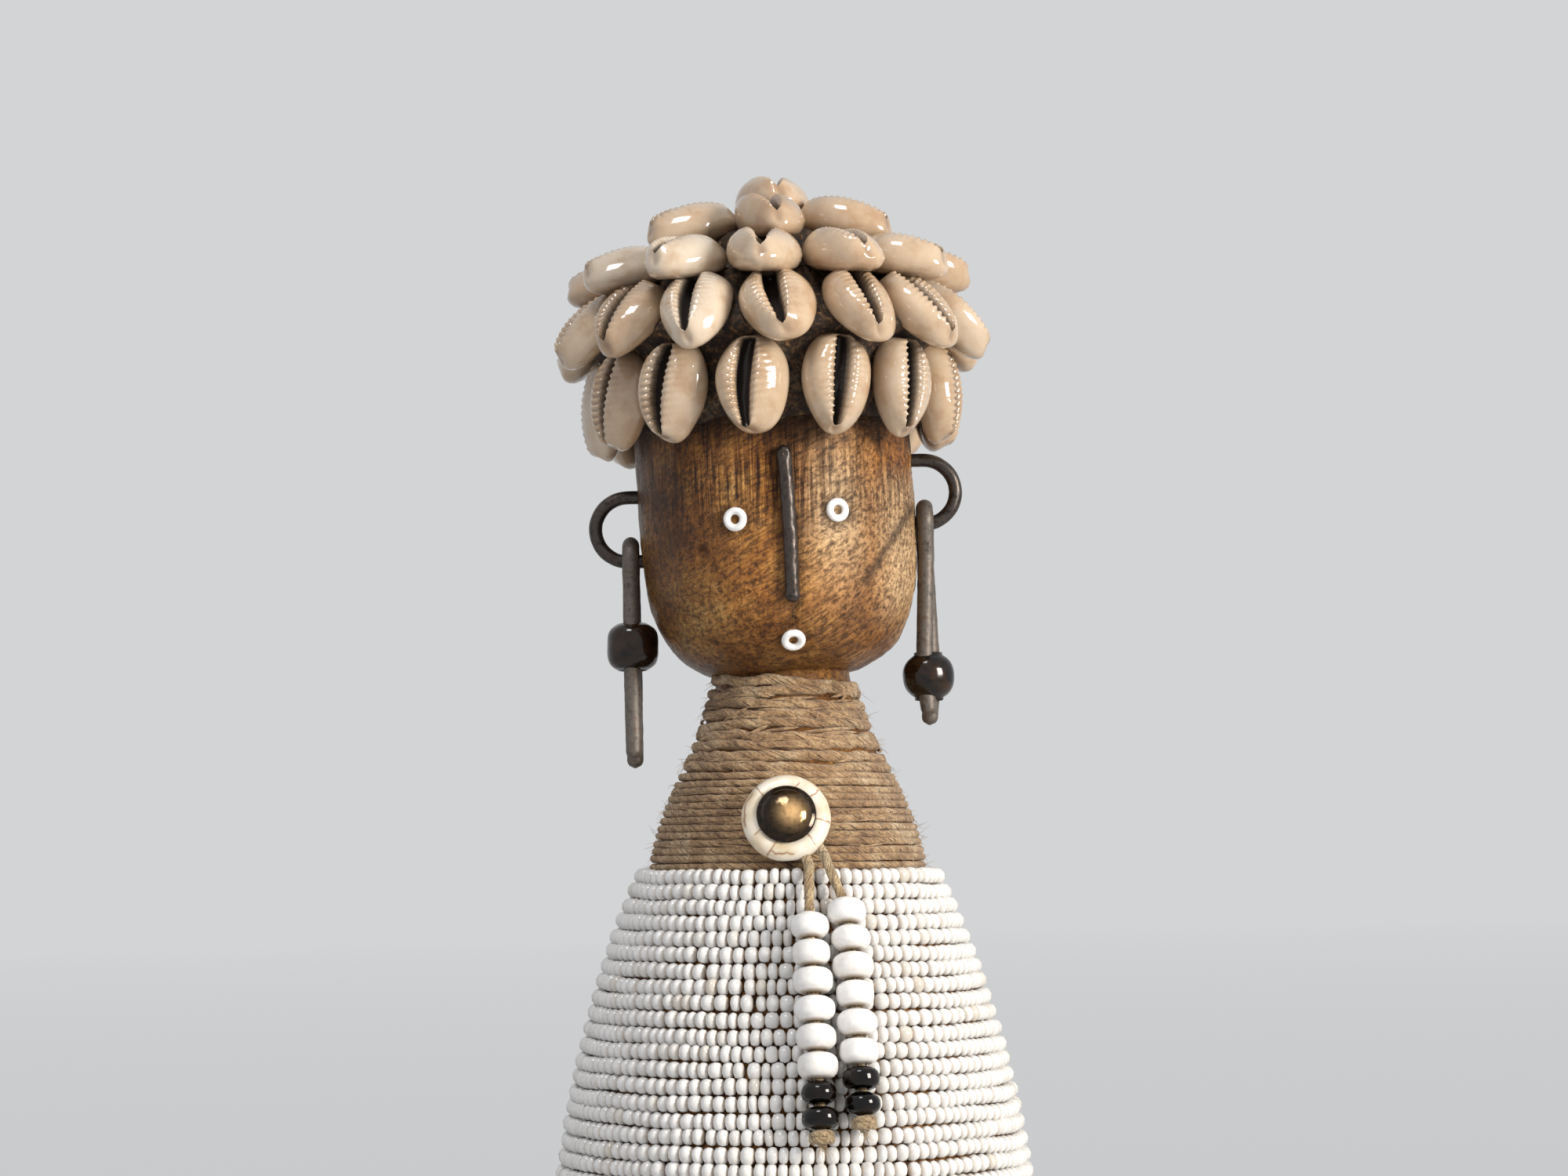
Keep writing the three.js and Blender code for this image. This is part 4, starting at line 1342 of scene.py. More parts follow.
@dataclass
class BeadSkirt(Maker):
    """Strings of small glass beads, wound round the core row under row."""

    row_pitch: float = 2.97
    row_width: float = 2.52
    hem_margin: float = 0.6
    diameter: float = 3.2
    length: float = 2.04
    gap: float = 0.05
    wide_gap: float = 0.55
    pieces_per_strand: int = 2
    chance: random.Random = field(default_factory=lambda: random.Random(SEED + 1))

    def build(self) -> None:
        """Threads the beads of both strands."""
        stages = [disc(0.44, -0.5), disc(0.87, -0.34), disc(1.0, 0.0), disc(0.87, 0.34), disc(0.44, 0.5)]
        form, faces, rings = drawn_up("bead_form", 10, stages)
        form = form[:, [2, 0, 1]] * np.array((1.0, 0.5, 0.5))
        dust = np.where((rings == 0) | (rings == 4), 0.5, 0.0)
        start = OUTLINE.skirt_height - self.row_width / 2
        lengths, heights = OUTLINE.descent(start, 200.0)
        last = self.hem_margin + self.row_width / 2
        turns = float(np.interp(-last, -heights, lengths)) / self.row_pitch
        parts = 2 * self.pieces_per_strand
        turn = 0.0
        for part in range(parts):
            stack = MeshStack()
            end = turns * (part + 1) / parts
            while turn < end + (part + 1 == parts):
                turn = self.thread(stack, turn, lengths, heights, form, faces, dust)
            strand = "upper" if part < self.pieces_per_strand else "lower"
            piece = stack.piece(f"seed_beads_{strand}_{part % self.pieces_per_strand + 1}", self.palette.seed)
            place_piece(piece, FIGURE, "pale_glass", f"bead_strand_{strand}")

    def thread(self, stack: MeshStack, turn: float, lengths: np.ndarray, heights: np.ndarray,
               form: np.ndarray, faces: Faces, dust: np.ndarray) -> float:
        """Threads one bead.

        Args:
            stack: the mesh that gets it.
            turn: how many turns the thread has made so far.
            lengths: lengths down the outline.
            heights: the height at each length.
            form: a bead of length and diameter 1 along X.
            faces: its faces.
            dust: dust on each of its vertices.

        Returns:
            The turn at which the next bead starts.
        """
        draw = self.chance.uniform
        long = self.length * self.chance.triangular(0.72, 1.38, 1.0)
        thick = self.diameter * draw(0.93, 1.05)
        z = float(np.interp(turn * self.row_pitch, lengths, heights))
        spare = max(0.0, self.hem_margin + self.row_width / 2 - z)
        round_length = tau * (OUTLINE.radius(z) - self.diameter / 2)
        angle = pi + tau * (turn + long / 2 / round_length)
        wave = lumps((4 * sin(angle), 4 * cos(angle), turn * 1.3), 1.6, 2)
        z = max(z + 0.36 * wave, self.hem_margin + thick / 2)
        depth = self.diameter / 2 - 0.05 + 0.5 * spare + draw(-0.1, 0.12)
        centre = OUTLINE.at(angle, z, depth)
        tangent = Vector((cos(angle), sin(angle), draw(-0.09, 0.09)))
        radial, up = OUTLINE.outward(z)
        out = Vector((radial * sin(angle), -radial * cos(angle), up))
        out += tangent * draw(-0.09, 0.09)
        place = frame_of(tangent, out, centre)
        sized = form * np.array((long, thick, thick))
        tint = unit(0.3 + 0.35 * wave + self.chance.gauss(0, 0.24))
        stack.add(moved(sized, place), faces, tint=tint, dust=dust * draw(0.5, 1.0))
        space = self.wide_gap if self.chance.random() < 0.05 else self.gap * draw(0.2, 2.0)
        return turn + (long + space) / round_length


# The collar of jute


@dataclass(frozen=True)
class Winding:
    """One cord round the collar: its turns from first to last, down the outline from a start height."""

    node: str
    start: float
    first: float
    turns: float
    pitch: float
    radius: float
    twist: float
    sway: float
    tuck: float


@dataclass
class JuteCollar(Maker):
    """Jute wound round the neck in thick cord and round the shoulders in thin cord, with loose fibres."""

    top: float = 166.0
    neck_turns: float = 8.0
    neck_width: float = 1.6
    neck_pitch: float = 2.05
    shoulder_width: float = 1.0
    shoulder_pitch: float = 1.45
    join_space: float = 0.45
    fibres: int = 520
    yarns: int = 120
    chance: random.Random = field(default_factory=lambda: random.Random(SEED + 2))

    def build(self) -> None:
        """Winds both cords."""
        neck_start = self.top - self.neck_width / 2
        reach = self.neck_pitch * self.neck_turns
        neck = Winding("neck_cord", neck_start, first=-1.1, turns=self.neck_turns, pitch=self.neck_pitch,
                       radius=1.14, twist=0.2, sway=0.26, tuck=0.0)
        self.wind(neck)
        _, heights = OUTLINE.descent(
            neck_start, reach + (self.neck_width + self.shoulder_width) / 2 + self.join_space)
        shoulder_start = float(heights[-1])
        lengths, heights = OUTLINE.descent(shoulder_start, 30.0)
        turns = float(np.interp(-OUTLINE.skirt_height - 0.2, -heights, lengths)) / self.shoulder_pitch
        shoulder = Winding("shoulder_cord", shoulder_start, first=-0.92, turns=turns,
                           pitch=self.shoulder_pitch, radius=0.75, twist=0.12, sway=0.07, tuck=2.0)
        self.wind(shoulder)

    def wind(self, winding: Winding) -> None:
        """Winds one cord of two twisted plies.

        Args:
            winding: its turns.
        """
        lengths, heights = OUTLINE.descent(winding.start, winding.turns * winding.pitch + 0.01)
        per_turn = 320
        path = []
        for step in range(int(winding.first * per_turn), int((winding.turns + winding.tuck) * per_turn) + 1):
            turn = step / per_turn
            angle = pi + tau * turn
            z = float(np.interp(turn * winding.pitch, lengths, heights)) - min(turn, 0.0) * winding.pitch
            sway = lumps((3 * sin(angle), 3 * cos(angle), turn * 2.1), 1.5, 2)
            drift = 1.1 * sin(angle + 0.5) * sin(turn * 2.4)
            z += winding.sway * (sway + drift) * winding.radius * 2
            dent = lumps((5 * sin(angle), 5 * cos(angle), turn), 1.2, 2)
            inset = winding.radius * 0.95 - 0.12 * dent
            tucked = Vector((0, 0, max(0.0, turn - winding.turns) * winding.pitch))
            path.append(tuple(OUTLINE.at(angle, z, inset) - tucked))
        line = np.array(path)
        run = np.concatenate([[0.0], np.cumsum(np.linalg.norm(np.diff(line, axis=0), axis=1))])
        lay = tau / (winding.radius * 5.0)

        def section(ring: int, angle: float) -> float:
            """Returns the radius of two plies twisted together and pressed square by their neighbours.

            Args:
                ring: the ring's number.
                angle: angle round the cord.

            Returns:
                The radius.
            """
            ply = abs(cos(angle - run[ring] * lay / 2))
            pressed = (abs(cos(angle)) ** 2.3 + abs(sin(angle)) ** 2.3) ** (-1 / 2.3)
            rough = 0.1 * lumps((run[ring] * 0.9, angle * 1.6, winding.start), 1.0, 2)
            return winding.radius * (pressed * (1 - winding.twist + winding.twist * ply) - 0.04 + rough)

        sides = 12
        points, faces = tube(line, section, sides, Vector((0, 0, 1)))
        along = np.repeat(run, sides)
        turned = np.tile(np.arange(sides) * tau / sides, len(path)) - along * lay / 2
        # Painted shade along the hollow between the two plies.
        hollow = np.clip(0.3 - np.abs(np.cos(turned)), 0, 0.3)
        strand = np.stack([np.cos(turned) * winding.radius, np.sin(turned) * winding.radius, along * 0.09],
                          axis=1)
        stack = MeshStack()
        stack.add(points, faces, hollow=hollow, strand=strand)
        self.fray(stack, path, winding.radius * 2)
        self.strays(stack, winding, float(heights[0]), float(heights[-1]))
        if winding.first < -1:
            self.loose_end(stack, Vector(path[int(0.72 * per_turn)]))
        place_piece(stack.piece(winding.node + "_spun", self.palette.jute), FIGURE, "jute", winding.node)

    def strays(self, stack: MeshStack, winding: Winding, high: float, low: float) -> None:
        """Adds the yarns that have slipped out of a cord and lie slanting over its turns.

        Args:
            stack: the cord's mesh.
            winding: its turns.
            high: the height of its first turn.
            low: the height of its last turn.
        """
        draw = self.chance.uniform
        steps, sides = 15, 6
        for _ in range(self.yarns):
            angle = draw(0, tau)
            reach = draw(0.25, 0.9)
            z = draw(low + winding.radius, high)
            slope = self.chance.gauss(0, 0.9) * winding.radius
            thick = winding.radius * draw(0.16, 0.34)
            path = []
            for share in np.linspace(0, 1, steps):
                level = min(high, max(low + 0.5, z + slope * (share - 0.5)))
                lift = winding.radius * 0.34 * cos(pi * (share - 0.5)) - 0.3 * winding.radius
                path.append(tuple(OUTLINE.at(angle + reach * share, level, thick - lift)))
            points, faces = tube(path, lambda ring, turn: thick * (1 - abs(ring / 7 - 1) ** 3), sides,
                                 Vector((0, 0, 1)))
            along = np.repeat(np.arange(steps) * 0.12 + z, sides)
            turned = np.tile(np.arange(sides) * pi / 3, steps)
            strand = np.stack([np.cos(turned) * thick, np.sin(turned) * thick, along], axis=1)
            stack.add(points, faces, hollow=0.0, strand=strand)

    def loose_end(self, stack: MeshStack, place: Vector) -> None:
        """Adds the frayed end of the neck cord, a tuft under the chin.

        Args:
            stack: the cord that it joins.
            place: where it leaves the cord.
        """
        draw = self.chance.uniform
        out = Vector((place.x, place.y, 0)).normalized()
        for _ in range(70):
            way = out + Vector([draw(-0.7, 0.7) for _ in range(3)]) - Vector((0, 0, 0.1))
            root = place + Vector([draw(-0.9, 0.9) for _ in range(3)])
            self.fibre(stack, root, way.normalized(), draw(1.0, 3.2))

    def fray(self, stack: MeshStack, path: list[tuple[float, float, float]], width: float) -> None:
        """Adds the loose fibres that stand off a cord.

        Args:
            stack: the cord's mesh.
            path: the cord's centreline.
            width: its width.
        """
        draw = self.chance.uniform
        for _ in range(self.fibres):
            step = self.chance.randrange(2, len(path) - 2)
            here = Vector(path[step])
            tangent = (Vector(path[step + 1]) - here).normalized()
            out = Vector((here.x, here.y, 0)).normalized()
            way = (tangent * draw(-1.2, 1.2) + out * draw(0.1, 0.8)
                   + Vector((0, 0, draw(-0.8, 0.6)))).normalized()
            self.fibre(stack, here + out * width * 0.35, way, draw(0.8, 2.4))

    def fibre(self, stack: MeshStack, start: Vector, way: Vector, length: float) -> None:
        """Adds one fibre that droops and curls away from a point.

        Args:
            stack: the mesh that gets it.
            start: its root.
            way: where it points at first.
            length: its length.
        """
        draw = self.chance.uniform
        curl = Vector([draw(-0.5, 0.5) for _ in range(3)]) - Vector((0, 0, 0.25))
        path = [start + (way * share + curl * share * share) * length for share in (0.0, 0.35, 0.7, 1.0)]
        thick = draw(0.035, 0.06)
        points, faces = tube(path, lambda ring, angle: thick * (1 - 0.22 * ring), 3, way.orthogonal())
        strand = np.tile((thick, thick, draw(0, 9)), (len(points), 1))
        stack.add(points, faces, hollow=0.0, strand=strand)


# Nose, ring beads, ear loops and earrings


class Side(Enum):
    """The doll's left and right as the viewer sees them."""

    LEFT = -1
    RIGHT = 1

    @property
    def word(self) -> str:
        """Returns the side's name as the CAD nodes have it."""
        return self.name.lower()


def torus_form(major: float, minor: float, around: int, section: int) -> Form:
    """Returns a ring about Z, from a torus added at its size in millimetres.

    Args:
        major: radius of the ring's middle line.
        minor: radius of its section.
        around: corners round the ring.
        section: corners of its section.

    Returns:
        Vertices and faces.
    """
    bpy.ops.object.select_all(action="DESELECT")
    bpy.ops.mesh.primitive_torus_add(major_segments=around, minor_segments=section,
                                     major_radius=major, minor_radius=minor)
    return taken_from(bpy.context.object)


def rounded_ends(count: int, spacing: float, radius: float) -> list[float]:
    """Returns the radius at each of count rings, rounded off at both ends of a rod.

    Args:
        count: rings along the rod.
        spacing: from ring to ring.
        radius: the rod's radius.

    Returns:
        One radius for each ring.
    """
    sizes = []
    for ring in range(count):
        inside = min(ring, count - 1 - ring) * spacing
        short = max(0.0, 1 - inside / radius)
        sizes.append(radius * max(0.12, sqrt(max(0.0, 1 - short * short))))
    return sizes


def rod(path: Sequence[Vector], radius: float, sides: int, spacing: float, beaten: float) -> Form:
    """Sweeps a beaten rod with round ends along a path.

    Args:
        path: its corners, in millimetres.
        radius: its radius.
        sides: corners of its section.
        spacing: from ring to ring.
        beaten: how deep the hammer marks are.

    Returns:
        Vertices and faces.
    """
    corners = np.array([tuple(p) for p in path])
    run = np.concatenate([[0.0], np.cumsum(np.linalg.norm(np.diff(corners, axis=0), axis=1))])
    count = max(4, round(run[-1] / spacing))
    stops = np.linspace(0.0, run[-1], count)
    line = np.stack([np.interp(stops, run, corners[:, axis]) for axis in range(3)], axis=1)
    sizes = rounded_ends(count, run[-1] / (count - 1), radius)

    def section(ring: int, angle: float) -> float:
        """Returns the rod's radius with its hammer marks.

        Args:
            ring: the ring's number.
            angle: angle round the rod.

        Returns:
            The radius.
        """
        x, y, z = line[ring]
        mark = lumps((x + 2 * cos(angle), y + 2 * sin(angle), z), 1.9, 2)
        return sizes[ring] * (1 + beaten * mark)

    return tube(line, section, sides, Vector((0.3, 0.9, 0.2)))


@dataclass
class Face(Maker):
    """The iron nose and the ring beads of the eyes and the mouth."""

    ring_diameter: float = 4.4
    ring_tube: float = 1.38
    ring_sink: float = 0.6
    nose_diameter: float = 2.6
    nose_stand: float = 0.5

    def build(self) -> None:
        """Makes the nose and the three ring beads."""
        pose = HEAD.matrix()
        ring, faces = torus_form((self.ring_diameter - self.ring_tube) / 2, self.ring_tube / 2, 44, 18)
        for name, (x, level) in zip(("eye_bead_left", "eye_bead_right", "mouth_bead"), HEAD.marks()):
            near = HEAD.face_point(x, level - 0.2)
            far = HEAD.face_point(x, level + 0.2)
            side = HEAD.face_point(x + 0.2, level) - HEAD.face_point(x - 0.2, level)
            normal = side.cross(far - near).normalized()
            place = HEAD.face_point(x, level) + normal * (self.ring_tube / 2 - self.ring_sink)
            shaped = np.array([tuple(Vector(p) * (1 + 0.015 * lumps((p[0] + x, p[1] + level, p[2]), 1.6, 2)))
                               for p in ring])
            dust = np.clip(1.3 - np.hypot(ring[:, 0], ring[:, 1]) / 0.8, 0, 0.5)
            piece = make_piece(name + "_glass", moved(shaped, pose @ frame_of(side, normal, place)), faces,
                               self.palette.ivory, {"tint": np.full(len(ring), 0.25), "dust": dust})
            place_piece(piece, FIGURE, "pale_glass", name)
        self.nose(pose)

    def nose(self, pose: Matrix) -> None:
        """Makes the nose from a forged rod, with a nail hole near its top.

        Args:
            pose: the head's place.
        """
        top, bottom = HEAD.nose_top, HEAD.nose_bottom
        high = Vector((0, -HEAD.outline(top), top))
        low = Vector((0, -HEAD.outline(bottom), bottom))
        middle = (top + bottom) / 2
        shift = Vector((0, -HEAD.outline(middle) - self.nose_stand, middle)) - (high + low) / 2
        bow = Vector((0.25, 0, 0))
        path = [high + shift, (high * 2 + low) / 3 + shift + bow, (high + low * 2) / 3 + shift + bow,
                low + shift]
        points, faces = rod([pose @ p for p in path], self.nose_diameter / 2, 28, 0.22, 0.09)
        hole = pose @ (high + shift + Vector((0.1, -self.nose_diameter / 2, -1.7)))
        dented = []
        for point in points:
            away = (Vector(point) - hole).length
            dented.append(tuple(Vector(point) + Vector((0, 0.5 * exp(-(away / 0.45) ** 2), 0))))
        piece = make_piece("nose_rod", np.array(dented), faces, self.palette.nail)
        place_piece(piece, FIGURE, "iron", "nose_nail")


@dataclass
class Earring(Maker):
    """An iron loop in the side of the head, and the folded wire with a bead that swings on it."""

    side: Side
    level: float
    drop: float
    bead_drop: float
    bead_square: float
    spread: float
    loop_reach: float
    place: float
    loop_wire: float = 2.5
    loop_radius: float = 6.0
    loop_root: float = 20.0
    wire: float = 3.1
    wire_gap: float = 0.4
    clearance: float = 0.3
    narrowing: float = 6.0
    bead_diameter: float = 9.6
    bead_length: float = 9.0
    bead_end: float = 0.55
    bead_bore: float = 0.5
    bead_cut: float = 0.98

    def build(self) -> None:
        """Makes the loop, the wire and the bead."""
        self.loop()
        self.hairpin()
        self.bead()

    def loop(self) -> None:
        """Makes the loop in the head: two legs and a half ring."""
        way = self.side.value
        path = [Vector((way * self.loop_root, 0, self.level + self.loop_radius))]
        for step in range(25):
            angle = pi / 2 - pi * step / 24
            path.append(Vector((way * (self.loop_reach + self.loop_radius * cos(angle)), 0,
                                self.level + self.loop_radius * sin(angle))))
        path.append(Vector((way * self.loop_root, 0, self.level - self.loop_radius)))
        points, faces = rod(path, self.loop_wire / 2, 20, 0.5, 0.035)
        name = f"ear_loop_{self.side.word}"
        place_piece(make_piece(name + "_iron", points, faces, self.palette.nail), FIGURE, "iron", name)

    def hairpin(self) -> None:
        """Makes the wire, folded over the loop's lower bar, its legs almost closed under it."""
        hinge = Vector((self.side.value * self.place, 0, self.level - self.loop_radius))
        bend = (self.loop_wire + self.wire) / 2 + self.clearance
        leg = (self.wire + self.wire_gap) / 2
        front = [Vector((0, -leg, -self.drop + self.wire * 0.5)),
                 Vector((-self.spread / 2, -leg, -self.bead_drop)), Vector((0, -leg, -self.narrowing))]
        back = [Vector((0, leg, -self.narrowing)), Vector((self.spread / 2, leg, -self.bead_drop)),
                Vector((0, leg, -self.drop))]
        arch = [Vector((0, -bend * cos(pi * i / 20), bend * sin(pi * i / 20)))
                for i in range(21)]
        points, faces = rod([hinge + p for p in (*front, *arch, *back)], self.wire / 2, 20, 0.45, 0.045)
        name = f"earring_wire_{self.side.word}"
        piece = make_piece(name + "_iron", points, faces, self.palette.iron)
        place_piece(piece, f"earring_{self.side.word}", "iron", name)

    def bead(self) -> None:
        """Makes the bead: a wound barrel with its bore drawn in at both ends."""
        half, radius = self.bead_length / 2, self.bead_diameter / 2
        stages = []
        for share in np.linspace(-1, 1, 19):
            width = radius * (1 - abs(share) ** self.bead_square) ** (1 / self.bead_square)
            stages.append(disc(max(width, self.bead_end * radius), half * share * self.bead_cut))
        for inset in (0.4, 1.0):
            stages.insert(0, disc(radius * self.bead_bore, -half * self.bead_cut + inset))
            stages.append(disc(radius * self.bead_bore, half * self.bead_cut - inset))
        points, faces, _ = drawn_up("bead_form", 56, stages)
        centre = Vector((self.side.value * self.place, 0, self.level - self.loop_radius - self.bead_drop))
        shaped = [tuple(Vector(p) * (1 + 0.03 * lumps((p[0] + self.level, p[1], p[2]), 4.5, 2)) + centre)
                  for p in points]
        name = f"earring_bead_{self.side.word}"
        piece = make_piece(name + "_glass", np.array(shaped), faces, self.palette.amber)
        place_piece(piece, f"earring_{self.side.word}", "dark_glass", name)


# The medallion


@dataclass(frozen=True)
class Crack:
    """A crack across the ring: its turn from the top in degrees, its two ends in mm, and its slant."""

    turn: float
    inner: float
    outer: float
    slant: float


@dataclass(frozen=True)
class RimCrack:
    """A crack along the rim: its turn from the top and its sweep in degrees, and its radius in mm."""

    turn: float
    sweep: float
    radius: float


@dataclass
class Medallion(Maker):
    """A ring of cracked bone with a domed bronze button in its bore."""

    level: float = 140.2
    diameter: float = 16.0
    bore: float = 6.4
    thickness: float = 3.6
    button: float = 10.7
    rise: float = 2.6
    clearance: float = 0.3
    cracks: tuple[Crack, ...] = (
        Crack(20, 5.0, 6.3, 2), Crack(52, 5.0, 7.6, -1), Crack(99, 5.0, 8.0, 0), Crack(136, 5.0, 7.2, 1),
        Crack(203, 5.0, 7.8, 2), Crack(238, 5.0, 6.6, -2), Crack(312, 5.0, 7.8, 3))
    rim_cracks: tuple[RimCrack, ...] = (RimCrack(168, 40, 7.2), RimCrack(252, 58, 7.5))

    def build(self) -> None:
        """Makes the ring and the button."""
        radial, up = OUTLINE.outward(self.level)
        axis = Vector((0, -radial, up))
        place = Vector((0, -OUTLINE.radius(self.level), self.level)) + axis * self.clearance
        seat = frame_of(Vector((1, 0, 0)), axis, place)
        middle = (self.diameter + self.bore) / 4
        tube_radius = (self.diameter - self.bore) / 4
        points, faces = torus_form(middle, tube_radius, 360, 64)
        flat = self.thickness / 2 / tube_radius
        shaped = []
        crack = []
        for x, y, z in points:
            swell = 1 + 0.02 * lumps((x, y, 0), 5.0, 2)
            shaped.append((x * swell, y * swell, (z * flat * swell) + self.thickness / 2))
            crack.append(self.crack(x, y))
        ring = make_piece("medallion_bone", moved(np.array(shaped), seat), faces, self.palette.bone,
                          {"crack": np.array(crack)})
        place_piece(ring, FIGURE, "bone", "medallion_ring")
        self.dome(seat)

    def crack(self, x: float, y: float) -> float:
        """Returns how cracked the bone is at a place: lines across the ring, and two along its rim.

        Args:
            x: place across the ring.
            y: place up the ring.

        Returns:
            The share, 0 to 1.
        """
        reach = hypot(x, y)
        turn = degrees(atan2(x, y))
        width = 0.13 + 0.05 * lumps((x, y, 4.0), 1.5, 2)
        most = 0.0
        for crack in self.cracks:
            near = smooth(crack.inner - 0.4, crack.inner, reach)
            near *= smooth(crack.outer + 0.4, crack.outer, reach)
            bend = 0.35 * lumps((reach, crack.turn, 0.0), 1.6, 2) + 0.12 * crack.slant * (reach - 6)
            away = radians((turn - crack.turn + 180) % 360 - 180) * reach - bend
            most = max(most, near * exp(-(away / width) ** 2))
        for crack in self.rim_cracks:
            share = ((turn - crack.turn) % 360) / crack.sweep
            near = smooth(0, 0.12, share) * smooth(1, 0.88, share)
            away = reach - crack.radius - 0.25 * lumps((share * 5, crack.radius, 1.0), 1.0, 2)
            most = max(most, near * exp(-(away / width) ** 2))
        return most

    def dome(self, seat: Matrix) -> None:
        """Makes the button: a shank in the bore, a rolled brim and a worn dome with a painted highlight.

        Args:
            seat: the medallion's place.
        """
        shank = self.bore / 2 - self.clearance
        brim = self.thickness + self.clearance
        half = self.button / 2
        stages = [disc(shank, self.clearance), disc(shank, brim - 0.5), disc(half - 0.5, brim - 0.45),
                  disc(half - 0.05, brim - 0.1), disc(half, brim + 0.25), disc(half - 0.25, brim + 0.55),
                  disc(half - 0.7, brim + 0.6)]
        for share in np.linspace(0.12, 1, 12):
            angle = pi / 2 * share
            reach = max(0.06, (half - 0.9) * cos(angle))
            stages.append(disc(reach, brim + 0.6 + (self.rise - 0.6) * sin(angle)))
        points, faces, _ = drawn_up("button_form", 64, stages)
        shaped = []
        rubbed = []
        for x, y, z in points:
            shaped.append((x, y, z + 0.05 * lumps((x, y, z), 1.4, 2)))
            # Rubbed gold, set right of the middle towards the key light: wear with a painted highlight.
            worn = exp(-(hypot(x - 1.0, y + 0.3) / 2.0) ** 2) * smooth(brim, brim + 1.2, z)
            rubbed.append(worn)
        piece = make_piece("medallion_dome", moved(np.array(shaped), seat), faces, self.palette.bronze,
                           {"rubbed": np.array(rubbed)})
        place_piece(piece, FIGURE, "bronze", "medallion_button")


# The two pendants


@dataclass
class Pendant(Maker):
    """A jute string that hangs down the skirt with pale beads, black beads and a knot."""

    side: Side
    top_x: float
    bead_x: float
    bottom_x: float
    top_level: float
    first_bead: float
    string: float = 1.6
    string_top: float = 2.2
    pale_count: int = 6
    pale_diameter: float = 6.5
    pale_length: float = 4.8
    pale_swell: float = 1.09
    black_swell: float = 1.14
    black_count: int = 2
    black_diameter: float = 5.6
    black_length: float = 4.15
    knot_diameter: float = 4.6
    knot_length: float = 2.4
    bead_space: float = 0.12
    clearance: float = 0.3
    lead_share: float = 0.72
    lead_rise: float = 3.2

    @property
    def length(self) -> float:
        """Returns the string's length down to the end of its knot.

        Returns:
            The length in millimetres.
        """
        pale = self.pale_count * (self.pale_length + self.bead_space)
        black = self.black_count * (self.black_length + self.bead_space)
        return self.first_bead - self.pale_length / 2 + pale + black + self.knot_length + self.bead_space

    def route(self) -> list[Vector]:
        """Returns the string's points, as the CAD has them.

        Returns:
            The points from the top down.
        """
        top = self.string_top / 2 + self.clearance
        bead = self.pale_diameter / 2 + self.clearance
        lengths, heights = OUTLINE.descent(min(self.top_level, OUTLINE.skirt_height), self.length)
        points = []
        for step in range(11):
            share = step / 10
            z = float(np.interp(self.length * share, lengths, heights))
            settle = min(self.length * share / self.first_bead, 1.0)
            stand = top + (bead - top) * settle
            radial, up = OUTLINE.outward(z)
            reach = OUTLINE.radius(z) + stand * radial
            x = self.top_x + (self.bead_x - self.top_x) * settle + (self.bottom_x - self.bead_x) * share
            lift = 0.0 if step else max(self.top_level - OUTLINE.skirt_height, 0.0)
            points.append(Vector((x, -sqrt(reach * reach - x * x), z + stand * up + lift)))
        return points

    def spot(self, route: list[Vector], along: float) -> tuple[Vector, Vector]:
        """Returns the point at a length along the route, and the way that the string runs there.

        Args:
            route: the string's points.
            along: length from the top.

        Returns:
            The point and the way.
        """
        left = along
        for low, high in zip(route, route[1:]):
            span = (high - low).length
            if left <= span or high is route[-1]:
                way = (high - low).normalized()
                return low + way * left, way
            left -= span
        raise ValueError("route of one point")

    def build(self) -> None:
        body = f"pendant_{self.side.word}"
        route = self.route()
        run = sum((b - a).length for a, b in zip(route, route[1:]))
        scale = run / self.length
        chance = random.Random(SEED + 5 + self.side.value)
        last = 60
        dots = [self.spot(route, run * i / last)[0] for i in range(last + 1)]
        line = []
        for i in range(last + 1):
            near = (dots[min(last, max(0, i + k))] for k in (-2, -1, 0, 1, 2))
            line.append(sum(near, Vector()) / 5)
        line[0], line[-1] = dots[0], dots[-1]
        string = self.twine(line, body + "_string")
        place_piece(string, body, "jute", body)
        tie = self.twine(self.lead(route[0]), body + "_tie")
        place_piece(tie, FIGURE, "jute", "shoulder_cord")
        along = self.first_bead
        pale = MeshStack()
        for _ in range(self.pale_count):
            self.add_bead(pale, route, along * scale, self.pale_diameter * self.pale_swell, self.pale_length,
                          chance)
            along += self.pale_length + self.bead_space
        along += (self.black_length - self.pale_length) / 2
        black = MeshStack()
        for _ in range(self.black_count):
            self.add_bead(black, route, along * scale, self.black_diameter * self.black_swell,
                          self.black_length, chance)
            along += self.black_length + self.bead_space
        along += (self.knot_length - self.black_length) / 2
        parts = [place_piece(pale.piece(body + "_pale_beads", self.palette.ivory), body, "pale_glass", body),
                 place_piece(black.piece(body + "_black_beads", self.palette.jet), body, "dark_glass", body),
                 self.knot(route, along * scale, body, chance)]

    def lead(self, end: Vector) -> list[Vector]:
        """Returns the string's fixed start, from under the medallion down to where the pendant hangs.

        Args:
            end: where the pendant hangs.

        Returns:
            The points from the top down.
        """
        start = Vector((end.x * self.lead_share, 0, end.z + self.lead_rise))
        start.y = -sqrt((OUTLINE.radius(start.z) + self.string * 0.4) ** 2 - start.x ** 2)
        return [start.lerp(end, i / 8) for i in range(9)]

    def twine(self, line: list[Vector], name: str) -> Object:
        """Makes a string of two twisted plies along a line.

        Args:
            line: the string's points.
            name: the piece's name.

        Returns:
            The string.
        """
        sides, lay = 14, 0.55

        def section(ring: int, angle: float) -> float:
            """Returns the radius of two plies that twist round each other."""
            return self.string / 2 * (0.98 + 0.2 * abs(cos(angle - ring * lay)))

